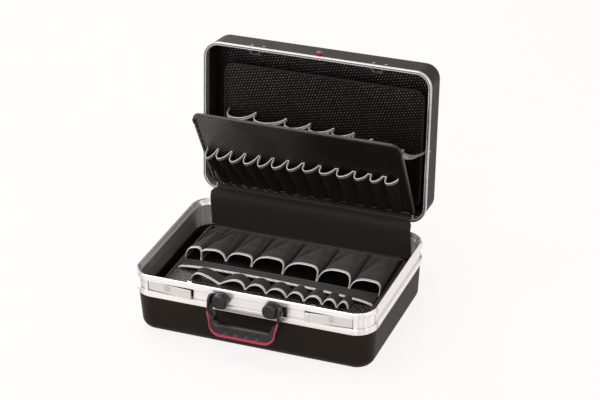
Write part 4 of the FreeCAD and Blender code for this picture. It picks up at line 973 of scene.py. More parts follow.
def tube(sections: Array) -> tuple[Array, list[list[int]], Array]:
    """Join closed sections along a path into one solid with flat ends.

    Args:
        sections: places, stations by points by 3, in millimetres.

    Returns:
        Points, faces, and UV coordinates in metres: along the path and round the section.
    """
    rows, columns = sections.shape[:2]
    points = sections.reshape(-1, 3)
    ends = [list(range(columns))[::-1], list(range((rows - 1) * columns, rows * columns))]
    faces = grid_faces(rows, columns, wrap=True).tolist() + ends
    along = run_length(sections.mean(axis=1))[:, None] * np.ones((1, columns))
    uv = np.stack([along, run_length(sections)], axis=-1).reshape(-1, 2) * MM
    return points, faces, uv


def carry(path: Array, first: Array, second: Array, section: Array) -> Array:
    """Carry a flat section along a path.

    Args:
        path: the path's points.
        first: for each of them, the direction of the section's first coordinate.
        second: the same for its second coordinate.
        section: the section's points, by 2.

    Returns:
        Places, stations by points by 3.
    """
    return (
        path[:, None, :]
        + section[None, :, 0, None] * first[:, None, :]
        + section[None, :, 1, None] * second[:, None, :]
    )


def straight(start: tuple, end: tuple, count: int) -> Array:
    """Places along a straight line, without the first one.

    Args:
        start: where it starts.
        end: where it ends.
        count: how many places it gets.

    Returns:
        The places, one row each.
    """
    share = np.linspace(0.0, 1.0, count + 1)[1:, None]
    return np.array(start) + share * (np.array(end) - np.array(start))


def smooth_path(knots: Array, count: int) -> Array:
    """A soft curve through knots: cubic Hermite pieces with neighbour-to-neighbour slopes.

    Args:
        knots: points by any number of coordinates.
        count: how many points the curve gets.

    Returns:
        The curve's points.
    """
    slopes = np.gradient(knots, axis=0)
    where = np.linspace(0.0, len(knots) - 1.0, count)
    piece = np.minimum(where.astype(int), len(knots) - 2)
    t = (where - piece)[:, None]
    a, b = knots[piece], knots[piece + 1]
    da, db = slopes[piece], slopes[piece + 1]
    return (
        (2 * t**3 - 3 * t**2 + 1) * a
        + (t**3 - 2 * t**2 + t) * da
        + (3 * t**2 - 2 * t**3) * b
        + (t**3 - t**2) * db
    )


# Where things lie: the closed case's own directions, turned to how the case stands


@dataclass(frozen=True)
class Turned:
    """A turn about a line along X: where the line is, and by how many degrees."""

    y: float
    z: float
    degrees: float

    def apply(self, places: Array) -> Array:
        """Turn places about the line.

        Args:
            places: millimetres, any shape by 3.

        Returns:
            The turned places.
        """
        angle = math.radians(self.degrees)
        cos, sin = math.cos(angle), math.sin(angle)
        y, z = places[..., 1] - self.y, places[..., 2] - self.z
        return np.stack(
            [places[..., 0], self.y + y * cos - z * sin, self.z + y * sin + z * cos], axis=-1
        )


LID_TURN = Turned(170.7, 123.0, -95.73)
UPPER_TURN = Turned(140.5, 127.3, 31.9)


@dataclass(frozen=True)
class Board:
    """A board's plane in the closed case, and the turns that bring it to where it stands.

    up is 1 where the pockets stand up from the board, and -1 where they hang below it.
    """

    level: float
    up: int = 1
    shift: float = 0.0
    turns: tuple[Turned, ...] = ()

    def at(self, across: Array | float, along: Array | float, height: Array | float) -> Array:
        """Places in the open case of points given on the board.

        Args:
            across: X on the board.
            along: Y in the closed case.
            height: how far off the board.

        Returns:
            Places by 3, in millimetres.
        """
        across, along, height = np.broadcast_arrays(across, along, height)
        places = np.stack([across + self.shift, along, self.level + self.up * height], axis=-1)
        for turn in self.turns:
            places = turn.apply(places)
        return places

    def direction(self, across: float, along: float, height: float) -> Array:
        """The direction in the open case of one given on the board."""
        return self.at(across, along, height) - self.at(0.0, 0.0, 0.0)


BASE_BOARD = Board(69.3, shift=-3.0)
BACK_BOARD = Board(164.2, -1, turns=(LID_TURN,))
UPPER_BOARD = Board(125.5, -1, turns=(UPPER_TURN, LID_TURN))


# Sewn pockets


@dataclass
class PocketRow:
    """One width of cloth that arches between its seams, bound with tape at its mouth.

    Across a pocket the cloth is a cubic Bezier arch. A positive lean gives it a steep right
    leg and a sloping left one, spread opens both legs, and square pulls the steep leg out so
    that its corner is tight. The mouth's line drifts back by the amounts given at places
    across, straight between them. Along the pocket its height falls to tail at the sewn end,
    and two creases run in from the seams. A level row keeps its height and has no creases.

    mouth and rear are the Y of the open and the sewn end in the closed case. heights are each
    pocket's share of height, taper is the sewn end's width as a share of the mouth's, fold is
    the creases' depth as a share of height, and overhang is how far the tape passes the edge.
    """

    name: str
    board: Board
    body: str
    node: str
    seams: tuple[float, ...]
    mouth: float
    rear: float
    height: float
    lean: tuple[float, ...] = (0.0,)
    heights: tuple[float, ...] = (1.0,)
    square: float = 0.0
    flat: float = 1.0
    spread: float = 0.0
    dip: tuple[float, ...] = (0.0,)
    drift: tuple[tuple[float, float], ...] = ((0.0, 0.0),)
    tail: float = 2.2
    seam_width: tuple[float, float] = (3.2, 3.2)
    taper: float = 0.97
    cloth: float = 1.1
    fold: float = 0.2
    level: bool = False
    cloth_finish: Finish = FINISH.cloth
    tape: Finish = FINISH.tape
    tape_width: float = 6.4
    tape_thickness: float = 2.2
    overhang: float = 1.0
    even_out: float = 0.35
    droop: float = 0.04
    ripple: float = 0.35
    pull_in: float = 1.6
    crease_from: tuple[float, float] = (0.06, 0.05)
    crease_turn: tuple[float, float] = (0.30, 0.12)
    crease_width: float = 0.085
    seed: int = 1
    columns: int = 26
    rows: int = 30

    def arches(self) -> tuple[Array, Array]:
        """Each pocket's arch, as shares of its width and height.

        x = 3 (1-t)^2 t x1 + 3 (1-t) t^2 x2 + t^3, and h is the same sum of h1 and h2 over its
        greatest value, after which 1 - (1 - h)^flat levels the top. A lean of 1 moves the
        sloping side's handle in by 0.42 of the width and the steep side's out by 0.08, and
        lowers and raises them by 0.34. square pulls the other side's handle by a quarter.

        Returns:
            Across and up, pockets by columns.
        """
        count = len(self.seams) - 1
        lean = np.resize(np.array(self.lean), count)[:, None]
        t = np.linspace(0.0, 1.0, self.columns)[None, :]
        first, second = 3.0 * (1.0 - t) ** 2 * t, 3.0 * (1.0 - t) * t**2
        slope, steep = 0.42, 0.08
        rightward, leftward = np.maximum(lean, 0.0), np.maximum(-lean, 0.0)
        x1 = self.spread + slope * rightward - steep * leftward
        x2 = 1.0 - self.spread - slope * leftward + steep * rightward
        x1 = x1 - self.square * np.where(lean < 0.0, 1.0, 0.25)
        x2 = x2 + self.square * np.where(lean > 0.0, 1.0, 0.25)
        tall = first * (1.0 - 0.34 * lean) + second * (1.0 + 0.34 * lean)
        tall = tall / tall.max(axis=1, keepdims=True)
        return first * x1 + second * x2 + t**3, 1.0 - (1.0 - tall) ** self.flat

    def creases(self, rng: np.random.Generator, along: Array, place: Array, pocket: Array) -> Array:
        """Two creases for each pocket, which run inwards from its seams.

        Each is exp(-((p - c) / w)^2) across, where p is the place in the pocket and c moves
        in with a, the way along, and it fades at both ends by sin(pi a)^1.3. crease_from and
        crease_turn are the least value of a number and how much more it may be.

        Args:
            rng: the row's random numbers.
            along: the way along the pocket, from 0 at the mouth to 1.
            place: the place across its own pocket, from 0 to 1, for each column.
            pocket: the number of its pocket, for each column.

        Returns:
            The creases' depths, from 0 to 1, rows by columns.
        """
        count = len(self.seams) - 1
        total = np.zeros((len(along), len(place)))
        for side in (0.0, 1.0):
            start, turn = (
                least + more * rng.random(count)[pocket]
                for least, more in (self.crease_from, self.crease_turn)
            )
            centre = np.abs(side - (start + turn * along))
            depth = np.exp(-(((place - centre) / self.crease_width) ** 2))
            total += depth * np.sin(math.pi * np.clip(along * 1.05, 0, 1)) ** 1.3
        return total

    def grid(self) -> Array:
        """The cloth's middle surface: the arches, carried from the mouth to the sewn end.

        With a the way along, the height is tail + (peak - tail) (1 - a^1.25), times the arch,
        less the creases and plus a slight ripple. Towards the rear the columns even out by
        even_out a^1.5. The mouth's edge comes forward at the tops by dip (1 - a)^2, and it
        is pulled in at the seams by pull_in (1 - a)^3.

        Returns:
            Places, rows from mouth to rear by columns by 3.
        """
        rng = np.random.default_rng(self.seed)
        seams = np.array(self.seams)
        count = len(seams) - 1
        wide, tall = self.arches()
        gap = np.linspace(*self.seam_width, count)[:, None]
        left = seams[:-1, None] + gap / 2.0
        width = np.diff(seams)[:, None] - gap
        along = np.linspace(0.0, 1.0, self.rows)[:, None]
        even = np.linspace(0.0, 1.0, self.columns)
        mouth_x, rear_x = (left + width * wide).ravel(), (left + width * even).ravel()
        blend = self.even_out * along**1.5
        across = mouth_x * (1.0 - blend) + rear_x * blend
        arch = tall.ravel()
        pocket = np.repeat(np.arange(count), self.columns)
        fall = 1.0 if self.level else 1.0 - along**1.25
        peak = self.height * np.resize(np.array(self.heights), count)[pocket]
        droop = 1.0 + self.droop * rng.standard_normal(count)[pocket]
        height = (self.tail + (peak - self.tail) * fall) * arch * droop
        if not self.level:
            creases = self.creases(rng, along, np.tile(even, count), pocket)
            height = height - self.fold * self.height * creases * arch
        ripple = self.ripple * np.sin(along * 19.0 + pocket * 1.7) * arch
        height = np.maximum(height + ripple, 0.0) + self.cloth / 2.0
        share = 1.0 - (1.0 - self.taper) * along
        dip = np.interp(pocket, np.linspace(0, count - 1, len(self.dip)), self.dip)
        pulled = self.pull_in * (1.0 - arch) * (1.0 - along) ** 3
        lean_in = pulled - dip * arch * (1.0 - along) ** 2
        places, shifts = np.array(self.drift).T
        mouth = self.mouth + np.interp(across, places, shifts)
        depth = mouth + (self.rear - mouth) * along - lean_in
        return self.board.at(across * share, depth, height)

    def edge_tape(self, grid: Array) -> bpy.types.Object:
        """The folded tape on the mouth of the cloth.

        Its section is a flat superellipse carried along the edge, half on each face. The
        middle of the face that shows is 0 in its second UV coordinate.

        Args:
            grid: the cloth's middle surface.

        Returns:
            The tape.
        """
        path = grid[0]
        normal = surface_normals(grid)[0]
        middle = len(path) // (2 * (len(self.seams) - 1))
        normal = normal * np.sign(np.dot(normal[middle], self.board.direction(0.0, 0.0, 1.0)))
        toward = np.broadcast_to(self.board.direction(0.0, 1.0, 0.0), path.shape)
        around = 16
        half_thickness, half_width = self.tape_thickness / 2.0, self.tape_width / 2.0
        section = superellipse(around, half_thickness, half_width, power=3.0)
        section = np.roll(section, around // 2, axis=0)
        section[:, 1] += half_width - self.overhang
        points, faces, uv = tube(carry(path, normal, toward, section))
        uv[:, 1] -= uv[:, 1].max() / 2.0
        piece = make_piece(self.name + "_tape", points, faces, uv, self.tape)
        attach(piece, self.body)
        return piece

    def build(self) -> None:
        """Make the cloth and its tape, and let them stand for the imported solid."""
        grid = self.grid()
        cloth = make_piece(self.name + "_cloth", *slab(grid, self.cloth), self.cloth_finish)
        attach(cloth, self.body)
        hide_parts(self.node)
        self.edge_tape(grid)


@dataclass
class StitchRow:
    """A straight run of stitches across a board, each a short raised bead.

    half is half the run's length, along its Y in the closed case, and height its level.
    """

    name: str
    board: Board
    body: str
    half: float
    along: float
    height: float = 0.3
    pitch: float = 4.0
    length: float = 2.6
    radius: float = 0.55
    rings: int = 5
    around: int = 6

    def build(self) -> None:
        """Bead: a small spindle r sin t round its axis, copied to every place at once."""
        count = int(2.0 * self.half / self.pitch)
        centres = (np.arange(count) + 0.5) * (2.0 * self.half / count) - self.half
        angle = np.linspace(0.12, math.pi - 0.12, self.rings)[:, None]
        ring = superellipse(self.around, 1.0, 1.0, power=2.0)
        across = centres[:, None, None] - np.cos(angle) * self.length / 2.0
        girth = np.sin(angle)[..., None] * ring * self.radius
        places = self.board.at(across, self.along + girth[..., 0], self.height + girth[..., 1])
        places = places.reshape(-1, 3)
        bead = self.rings * self.around
        offsets = (np.arange(count) * bead)[:, None, None]
        faces = (grid_faces(self.rings, self.around, wrap=True) + offsets).reshape(-1, 4).tolist()
        caps = np.stack([np.arange(self.around)[::-1], np.arange(bead - self.around, bead)])
        faces += (caps + offsets).reshape(-1, self.around).tolist()
        uv = places[:, [0, 2]] * MM
        piece = make_piece(self.name, places, faces, uv, FINISH.thread)
        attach(piece, self.body)


@dataclass
class PocketBoards:
    """The five pocket rows and the stitches that hold them.

    The seams are given as shares of half the board's length.
    """

    base_half: float = 208.0
    back_half: float = 207.0
    upper_half: float = 210.8
    large: tuple[float, ...] = (-0.965, -0.81, -0.585, -0.325, -0.005, 0.34, 0.665, 0.965)
    loops: tuple[float, ...] = (-0.765, -0.48, -0.22, -0.015, 0.185, 0.355, 0.53, 0.67, 0.785)
    back: tuple[float, ...] = (-0.95, -0.675, -0.365, -0.12, 0.115, 0.32, 0.5, 0.68, 0.81, 0.95)
    upper: tuple[float, ...] = (
        -0.945, -0.84, -0.705, -0.57, -0.43, -0.295, -0.15, 0.0, 0.16, 0.325, 0.49, 0.64, 0.78,
        0.93,
    )

    def seams(self, half: float, shares: tuple[float, ...]) -> tuple[float, ...]:
        """Seam places from shares of half the board's length."""
        return tuple(half * share for share in shares)

    def base_rows(self) -> list[PocketRow]:
        """The seven large pockets, the wide flat one and the eight loops of the base board."""
        return [
            PocketRow(
                "large_pockets", BASE_BOARD, "base", "base_pocket_row",
                self.seams(self.base_half, self.large), mouth=17.5, rear=142.0, height=29.0,
                drift=((-198.0, -9.0), (-166.0, -2.0), (-120.0, 10.0), (-67.0, 6.0),
                       (200.0, -16.0)),
                lean=(0.3, -0.4, 0.5, 0.6, 0.6, 0.55, 0.5), square=0.26, flat=1.45,
                heights=(0.82, 0.81, 0.72, 1.0, 1.1, 1.18, 1.05), seed=3,
                tape=FINISH.low_tape, tape_thickness=2.5,
            ),
            PocketRow(
                "flat_pocket", BASE_BOARD, "base", "base_flat_pocket", (-200.0, 200.0),
                mouth=-31.0, rear=8.0, height=11.0, drift=((-200.0, 5.0), (200.0, -5.0)),
                fold=0.0, columns=120, rows=12, taper=1.0, seed=5,
                tape=FINISH.flat_tape, tape_thickness=3.0,
            ),
            PocketRow(
                "tool_loops", BASE_BOARD, "base", "base_loop_row",
                self.seams(self.base_half, self.loops), mouth=-60.0, rear=-31.0, height=13.0,
                drift=((-200.0, 3.0), (200.0, -3.0)),
                lean=(-0.8, 0.6, 0.2, 0.1, 0.15, 0.2, 0.1, 0.3), spread=0.16, level=True,
                rows=12, taper=1.0, seed=7,
                tape=FINISH.low_tape, tape_width=6.2, tape_thickness=2.6,
            ),
        ]

    def lid_rows(self) -> list[PocketRow]:
        """The nine pockets of the back board and the thirteen of the upper board."""
        return [
            PocketRow(
                "back_pockets", BACK_BOARD, "lid", "back_pocket_row",
                self.seams(self.back_half, self.back), mouth=4.5, rear=131.0, height=19.0,
                drift=((-200.0, -9.0), (60.0, 2.0), (200.0, 28.0)), lean=(-0.55,), square=0.15,
                dip=(9.0, 7.0, 4.0, 2.0, 1.0), cloth_finish=FINISH.shaded_copy_of_cloth, seed=11,
                tape=FINISH.low_tape, tape_width=7.0,
            ),
            PocketRow(
                "upper_pockets", UPPER_BOARD, "upper_board", "swing_pocket_row",
                self.seams(self.upper_half, self.upper), mouth=25.5, rear=130.5, height=19.0,
                heights=(1.05, 1.08, 1.05, 1.05, 1.0, 0.95, 0.85, 0.75, 0.7, 0.68, 0.66, 0.64, 0.6),
                seam_width=(2.6, 8.6), lean=(-0.8,), square=0.28, dip=(3.0,),
                cloth_finish=FINISH.shaded_copy_of_cloth, seed=13, tape_width=7.8,
            ),
        ]

    def build(self) -> None:
        """Make the rows and the stitches."""
        for row in self.base_rows() + self.lid_rows():
            row.build()
        StitchRow("upper_hem_stitches", UPPER_BOARD, "upper_board", 200.0, 133.0).build()
        StitchRow("base_hem_stitches", BASE_BOARD, "base", 196.0, 143.3).build()


# Soft pieces between the moving parts


@dataclass
class HingeCover:
    """One sheet of coated cloth from behind the base board up over the lid's lower rim.

    Past tuck_from in Y its two ends draw in to tuck_half, over tuck_over. Each of its waves
    is a height, and the length and the shift of a sine in X.
    """

    left: float = -208.0
    right: float = 209.0
    thickness: float = 1.0
    tuck_half: float = 201.0
    tuck_from: float = 152.0
    tuck_over: float = 10.0
    profile: tuple[tuple[float, float], ...] = (
        (150.5, 72.6), (149.9, 90.0), (148.2, 108.0), (146.8, 124.0), (147.6, 137.0),
        (152.5, 145.6), (160.0, 149.2), (167.0, 149.0), (172.2, 148.3),
    )
    waves: tuple[tuple[float, float, float], ...] = ((0.5, 31.0, 0.6), (0.3, 13.0, 0.0))
    rows: int = 60
    columns: int = 90

    def build(self) -> None:
        """A curve in Y and Z carried across, with faint waves that fade at its two edges."""
        line = smooth_path(np.array(self.profile), self.rows)
        share = np.linspace(0.0, 1.0, self.rows)[:, None]
        narrow = np.clip((line[:, :1] - self.tuck_from) / self.tuck_over, 0.0, 1.0)
        low = self.left + (-self.tuck_half - self.left) * narrow
        high = self.right + (self.tuck_half - self.right) * narrow
        x = low + (high - low) * np.linspace(0.0, 1.0, self.columns)
        wave = sum(high * np.sin(x / long + shift) for high, long, shift in self.waves)
        y = line[:, :1] + wave * np.sin(math.pi * share) ** 2
        grid = np.stack(np.broadcast_arrays(x, y, line[:, 1:]), axis=-1)
        piece = make_piece("hinge_cover_cloth", *slab(grid, self.thickness), FINISH.cover)
        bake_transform(piece)
        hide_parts("hinge_cover")


@dataclass
class Strap:
    """Elastic webbing from the lid's side wall to the upper board's edge, with a small sag.

    anchor and hold are its ends in the closed case, on the right side.
    """

    side: int
    anchor: tuple[float, float, float] = (224.9, 4.5, 129.0)
    hold: tuple[float, float, float] = (211.8, -57.5, 127.3)
    width: float = 5.0
    thickness: float = 1.3
    sag: float = 9.0
    stations: int = 40

    def build(self) -> None:
        """A flat superellipse carried along a shallow parabola, 4 sag s (1 - s) deep."""
        anchor = LID_TURN.apply(np.array(self.anchor))
        hold = LID_TURN.apply(UPPER_TURN.apply(np.array(self.hold)))
        share = np.linspace(0.0, 1.0, self.stations)
        path = anchor + (hold - anchor) * share[:, None]
        path[:, 2] -= self.sag * 4.0 * share * (1.0 - share)
        path[:, 0] *= self.side
        out = np.broadcast_to(np.array([1.0, 0.0, 0.0]), path.shape)
        up = unit(np.cross(unit(np.gradient(path, axis=0)), out))
        section = superellipse(12, self.thickness / 2.0, self.width / 2.0, power=3.5)
        name = "strap_left" if self.side < 0 else "strap_right"
        sections = carry(path, out, up, section)
        piece = make_piece(name + "_webbing", *tube(sections), FINISH.webbing)
        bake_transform(piece)
        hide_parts(name)


@dataclass
class LidSeal:
    """The rubber cord pressed into the groove of the lid frame's face; its black also paints the
    groove's shade.
    """

    half: float = 229.1
    front: float = -152.1
    rear: float = 149.1
    corner: float = 29.1
    level: float = 117.35
    width: float = 1.3
    height: float = 1.0
    around: int = 10

    def build(self) -> None:
        """A small superellipse carried round a rectangle with quarter-circle corners."""
        turn = np.linspace(0.0, math.pi / 2.0, 12)
        quarter = self.corner * np.stack([np.cos(turn), np.sin(turn)], axis=-1)
        right, back = self.half - self.corner, self.rear - self.corner
        near = self.front + self.corner
        centres = [(right, back), (-right, back), (-right, near), (right, near)]
        spin = np.array([[0.0, 1.0], [-1.0, 0.0]])
        path = np.concatenate([
            np.array(centre) + quarter @ np.linalg.matrix_power(spin, number)
            for number, centre in enumerate(centres)
        ])
        count = len(path)
        way = unit(np.roll(path, -1, axis=0) - np.roll(path, 1, axis=0))
        out = np.stack([way[:, 1], -way[:, 0], np.zeros(count)], axis=-1)
        up = np.broadcast_to(np.array([0.0, 0.0, 1.0]), out.shape)
        lifted = np.concatenate([path, np.full((count, 1), self.level)], axis=1)
        section = superellipse(self.around, self.width / 2.0, self.height / 2.0, power=2.5)
        rings = LID_TURN.apply(carry(lifted, out, up, section)).reshape(-1, 3)
        faces = grid_faces(count + 1, self.around, wrap=True) % (count * self.around)
        # Black seal rubber, whose dark line also stands as painted shade in the groove.
        piece = make_piece("lid_seal_cord", rings, faces.tolist(), None, FINISH.seal)
        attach(piece, "lid")


# The handle


@dataclass
class Handle:
    """The bail: flat ears, swelling arms and a full bar, with a soft red line round its edge.

    Each station has an outer and an inner point in the bail's plane, and the section between
    them is a superellipse. half is half the width at the ears, each side comes in by taper
    towards the bar, and reach is the way down from the pivot to the bar's foot. Below the
    ears, at neck, each edge bends over a few millimetres into its arm. The red line's half
    width grows between the depths line_widens.
    """

    pivot_y: float = -177.0
    pivot_z: float = 108.0
    hang: float = -11.0
    half: float = 72.0
    step: float = 0.6
    taper: float = 6.0
    reach: float = 63.0
    corner: float = 23.0
    ear: float = 5.5
    ear_radius: float = 12.2
    neck: float = 17.0
    outer_bend: float = 4.0
    inner_bend: float = 5.0
    arm: float = 9.5
    bar: float = 23.5
    inner_corner: float = 12.0
    front: float = 11.6
    back: float = 11.4
    dimples: tuple[float, ...] = (-31.5, -10.5, 10.5, 31.5)
    dimple: float = 5.6
    dimple_depth: float = 3.4
    dimple_off: float = 0.02
    bar_from: float = 46.0
    bar_over: float = 4.0
    line_in: float = 2.5
    line_half: tuple[float, float] = (1.8, 2.6)
    line_widens: tuple[float, float] = (45.0, 60.0)
    line_sunk: float = 0.7
    line_depth: float = 1.6

    def half_outline(self, inner: bool) -> Array:
        """One side's outline from the ear's top to the bar's middle, in x and z.

        Args:
            inner: the inner edge, and otherwise the outer one.

        Returns:
            Points at matching stations on both edges.
        """
        on_ear, on_run, on_corner, on_bar = 12, 7, 18, 29
        low = self.half - self.taper
        if inner:
            x0, x1, x2 = self.half - self.ear, self.half - self.arm, low - self.arm
            floor, radius, bend = self.reach - self.bar, self.inner_corner, self.inner_bend
        else:
            x0, x1, x2 = self.half, self.half - self.step, low
            floor, radius, bend = self.reach, self.corner, self.outer_bend
        rise = self.ear_radius * np.sin(np.linspace(math.pi / 2, 0.0, on_ear))
        top = np.stack([np.full(on_ear, x0), rise], axis=-1)
        neck, elbow, foot = (x0, -self.neck), (x1, -self.neck - bend), (x2, radius - floor)
        turn = np.linspace(0.0, math.pi / 2, on_corner + 1)[1:]
        centre = np.array([x2 - radius, radius - floor])
        bow = centre + radius * np.stack([np.cos(turn), -np.sin(turn)], axis=-1)
        return np.concatenate([
            top,
            straight((x0, 0.0), neck, on_run),
            straight(neck, elbow, on_run),
            straight(elbow, foot, on_run),
            bow,
            straight((x2 - radius, -floor), (0.0, -floor), on_bar),
        ])

    def outline(self, inner: bool) -> Array:
        """Both sides' outline from the left ear to the right one, softened where runs meet.

        Args:
            inner: the inner edge, and otherwise the outer one.

        Returns:
            Points in x and z, each averaged twice with its neighbours.
        """
        half = self.half_outline(inner)
        whole = np.concatenate([half * np.array([-1.0, 1.0]), half[-2::-1]])
        for _ in range(2):
            whole[1:-1] = (whole[:-2] + 2.0 * whole[1:-1] + whole[2:]) / 4.0
        return whole

    def moulding(
        self, name: str, shape: Array, forward: Array, finish: Finish
    ) -> bpy.types.Object:
        """A piece of the bail from sections in its own plane, hung in the case.

        Args:
            name: the piece's name.
            shape: the sections' places in x and up, stations by points by 2.
            forward: how far each place stands to the front.
            finish: its finish.

        Returns:
            The piece, riding on the handle.
        """
        across, up = shape[..., 0], shape[..., 1]
        places = np.stack(np.broadcast_arrays(across, -forward, up), axis=-1)
        hung = Turned(0.0, 0.0, self.hang).apply(places)
        sections = hung + np.array([0.0, self.pivot_y, self.pivot_z])
        piece = make_piece(name, *tube(sections), finish)
        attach(piece, "handle")
        return piece

    def build(self) -> None:
        """Make the grip, with round dimples d exp(-(r^2/a^2)^2) in the bar, and the soft line.

        The section's depth is the ear's circle above the pivot, sqrt(1 - (z/r)^2).
        """
        outer, inner = self.outline(False), self.outline(True)
        middle, reach = (outer + inner) / 2.0, (outer - inner) / 2.0
        above = np.clip(middle[:, 1], 0.0, self.ear_radius - 0.05)
        depth = np.sqrt(1.0 - (above / self.ear_radius) ** 2)[:, None]
        width, deep = superellipse(72, 1.0, 1.0, power=3.4).T
        shape = middle[:, None, :] + width[:, None] * reach[:, None, :]
        forward = deep * depth * (self.front + self.back) / 2.0 + (self.front - self.back) / 2.0
        apart = shape[..., :1] - np.array(self.dimples)
        rise = (width[:, None] + self.dimple_off) * self.bar / 2.0
        dents = np.exp(-(((apart**2 + rise**2) / self.dimple**2) ** 2)).sum(axis=-1)
        on_bar = np.clip((-middle[:, 1:] - self.bar_from) / self.bar_over, 0.0, 1.0)
        in_front = np.clip(deep * 3.0, 0.0, 1.0)
        forward = forward - self.dimple_depth * dents * on_bar * in_front
        grip = self.moulding("handle_grip_moulding", shape, forward, FINISH.grip)
        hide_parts("handle_grip")
        self.soft_line(outer, reach)

    def soft_line(self, outer: Array, reach: Array) -> None:
        """The red line: a rounded strip carried along the outer front edge below the ears.

        Args:
            outer: the outer outline.
            reach: half the way from the inner to the outer outline.
        """
        below = outer[:, 1] < -self.neck
        way = unit(reach)[below]
        centre = outer[below] - way * self.line_in
        width, deep = superellipse(14, 1.0, 1.0, power=2.8).T
        half = np.interp(-centre[:, 1], self.line_widens, self.line_half)[:, None, None]
        shape = centre[:, None, :] + width[:, None] * way[:, None, :] * half
        forward = self.front - self.line_sunk + deep * self.line_depth
        line = self.moulding("handle_soft_line", shape, forward, FINISH.accent)
        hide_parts("handle_accent")


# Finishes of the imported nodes


@dataclass
class PackedParts:
    """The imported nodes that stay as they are, each with its finish."""

    finishes: tuple[tuple[Finish, tuple[str, ...]], ...] = (
        (FINISH.shell, ("base_shell", "lid_shell")),
        (FINISH.frame, ("base_frame",)),
        (FINISH.lid_frame, ("lid_frame",)),
        (FINISH.flat_board, ("base_board",)),
        (FINISH.back_board, ("back_board",)),
        (FINISH.liner, ("lid_liner",)),
        (FINISH.upper_board, ("swing_board",)),
        (FINISH.lock, ("lock_rocker_left", "lock_rocker_right")),
        (FINISH.plug, ("lock_plug_left", "lock_plug_right")),
        (FINISH.striker, ("striker_left", "striker_right")),
        (FINISH.dark_rivet, ("striker_rivets", "strap_rivets")),
        (FINISH.stud, ("lid_stud",)),
        (FINISH.mount, ("handle_mount_left", "handle_mount_right", "handle_pins")),
        (FINISH.housing, ("board_posts", "back_board_posts", "lock_housing_left",
                          "lock_housing_right", "swing_clips")),
        (FINISH.zinc, ("hinge_leaves_base", "hinge_leaves_lid", "hinge_pins", "hinge_rivets",
                       "latch_hook_left", "latch_hook_right", "lock_pins", "lock_springs",
                       "swing_brackets", "swing_pins")),
    )

    def dress(self, nodes: dict) -> None:
        """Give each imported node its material.

        Args:
            nodes: the frame's nodes by name.
        """
        for finish, names in self.finishes:
            for name in names:
                materials = nodes[name].data.materials
                materials.clear()
                materials.append(finish.material())
            LOG.info("%s: %d packed nodes", finish.name, len(names))


# Studio


@dataclass(frozen=True)
class Lamp:
    """A large square lamp turned towards a point: places and side in metres, power in watts."""

    name: str
    place: tuple[float, float, float]
    aim: tuple[float, float, float]
    size: float
    watts: float

    def build(self) -> None:
        """Make the lamp, whose own downward direction is turned to the way to its aim."""
        data = bpy.data.lights.new(self.name, "AREA")
        data.shape, data.size, data.energy = "SQUARE", self.size, self.watts
        made = bpy.data.objects.new(self.name, data)
        made.location = self.place
        x, y, z = np.array(self.aim) - np.array(self.place)
        made.rotation_euler = (math.atan2(math.hypot(x, y), -z), 0.0, math.atan2(-x, y))
        bpy.context.scene.collection.objects.link(made)


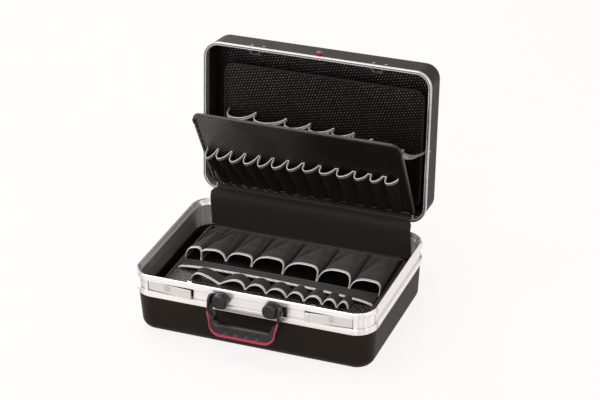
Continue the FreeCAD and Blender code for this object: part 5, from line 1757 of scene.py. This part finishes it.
@dataclass
class Studio:
    """Floor, backdrop, lamps, and the camera at the photograph's angle.

    half, near, far, curve and top are the backdrop's half width, front edge, the place where
    its wall begins to rise, the radius of that curve, and the wall's top.
    """

    azimuth: float = 21.85
    elevation: float = 28.48
    roll: float = -1.08
    distance: float = 3901.19
    target: tuple[float, float, float] = (41.88, 0.0, 247.51)
    focal_pixels: float = 2100.54
    frame_pixels: float = 600.0
    sensor: float = 36.0
    half: float = 7000.0
    near: float = -6000.0
    far: float = 3500.0
    curve: float = 1500.0
    top: float = 6000.0
    daylight: float = 0.4
    lamps: tuple[Lamp, ...] = (
        Lamp("soft_top", (-0.7, 0.2, 2.6), (0.0, 0.0, 0.1), 2.0, 34.0),
        Lamp("soft_behind", (-1.7, 2.5, 2.0), (0.0, 0.1, 0.3), 1.0, 27.0),
        Lamp("soft_left", (-2.4, -1.6, 1.8), (0.0, 0.0, 0.15), 1.4, 10.5),
        Lamp("soft_right", (2.6, -0.6, 1.6), (0.0, 0.1, 0.2), 1.4, 13.0),
        Lamp("soft_front", (0.4, -3.0, 1.9), (0.0, 0.0, 0.2), 1.6, 32.0),
    )

    def camera(self) -> None:
        """Set the camera from its angles: back is the way from the target to it."""
        a, e, r = (math.radians(x) for x in (self.azimuth, self.elevation, self.roll))
        back = np.array([math.sin(a) * math.cos(e), -math.cos(a) * math.cos(e), math.sin(e)])
        level = np.array([math.cos(a), math.sin(a), 0.0])
        above = np.cross(back, level)
        right = level * math.cos(r) + above * math.sin(r)
        up = above * math.cos(r) - level * math.sin(r)
        data = bpy.data.cameras.new("photo_camera")
        data.sensor_width = self.sensor
        data.lens = self.sensor * self.focal_pixels / self.frame_pixels
        data.clip_start, data.clip_end = 0.1, 60.0
        made = bpy.data.objects.new("photo_camera", data)
        matrix = np.eye(4)
        matrix[:3, :3] = np.stack([right, up, back], axis=1)
        matrix[:3, 3] = (np.array(self.target) + back * self.distance) * MM
        made.matrix_world = Matrix(matrix.tolist())
        bpy.context.scene.collection.objects.link(made)
        bpy.context.scene.camera = made

    def backdrop(self) -> None:
        """A floor that curves up into a wall behind the case: y and z along a quarter circle."""
        turn = np.linspace(0.0, math.pi / 2, 16)
        rear = self.far + self.curve
        y = np.concatenate([[self.near], self.far + self.curve * np.sin(turn), [rear]])
        z = np.concatenate([[0.0], self.curve * (1.0 - np.cos(turn)), [self.top]])
        x = np.array([-self.half, self.half])
        grid = np.stack(np.broadcast_arrays(x, y[:, None], z[:, None]), axis=-1)
        faces = grid_faces(len(y), 2).tolist()
        piece = make_piece("studio_floor", grid.reshape(-1, 3), faces, None, FINISH.paper)

    def world(self) -> None:
        """Even daylight, and white where the camera, gloss or glass looks past the floor."""
        made = bpy.data.worlds.new("studio_world")
        bpy.context.scene.world = made
        tree = empty_tree(made)
        strength = add_node(tree, "MapRange", {"To Min": self.daylight}, {0: seen_directly(tree)})
        settings = {"Color": linear("fffefc")}
        light = add_node(tree, "Background", settings, {"Strength": strength})
        add_node(tree, "OutputWorld", {}, {"Surface": light})

    def build(self) -> None:
        """Make everything round the case."""
        self.camera()
        self.backdrop()
        self.world()
        for lamp in self.lamps:
            lamp.build()
        bpy.context.scene.view_settings.view_transform = "Standard"


def main() -> None:
    """Load the frame, build each sub-assembly in order and note the sizes."""
    logging.basicConfig(level=logging.INFO, format="%(name)s: %(message)s")
    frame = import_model()
    PackedParts().dress(frame["nodes"])
    PocketBoards().build()
    HingeCover().build()
    for side in (-1, 1):
        Strap(side).build()
    LidSeal().build()
    Handle().build()
    Studio().build()


if __name__ == "__main__":
    main()
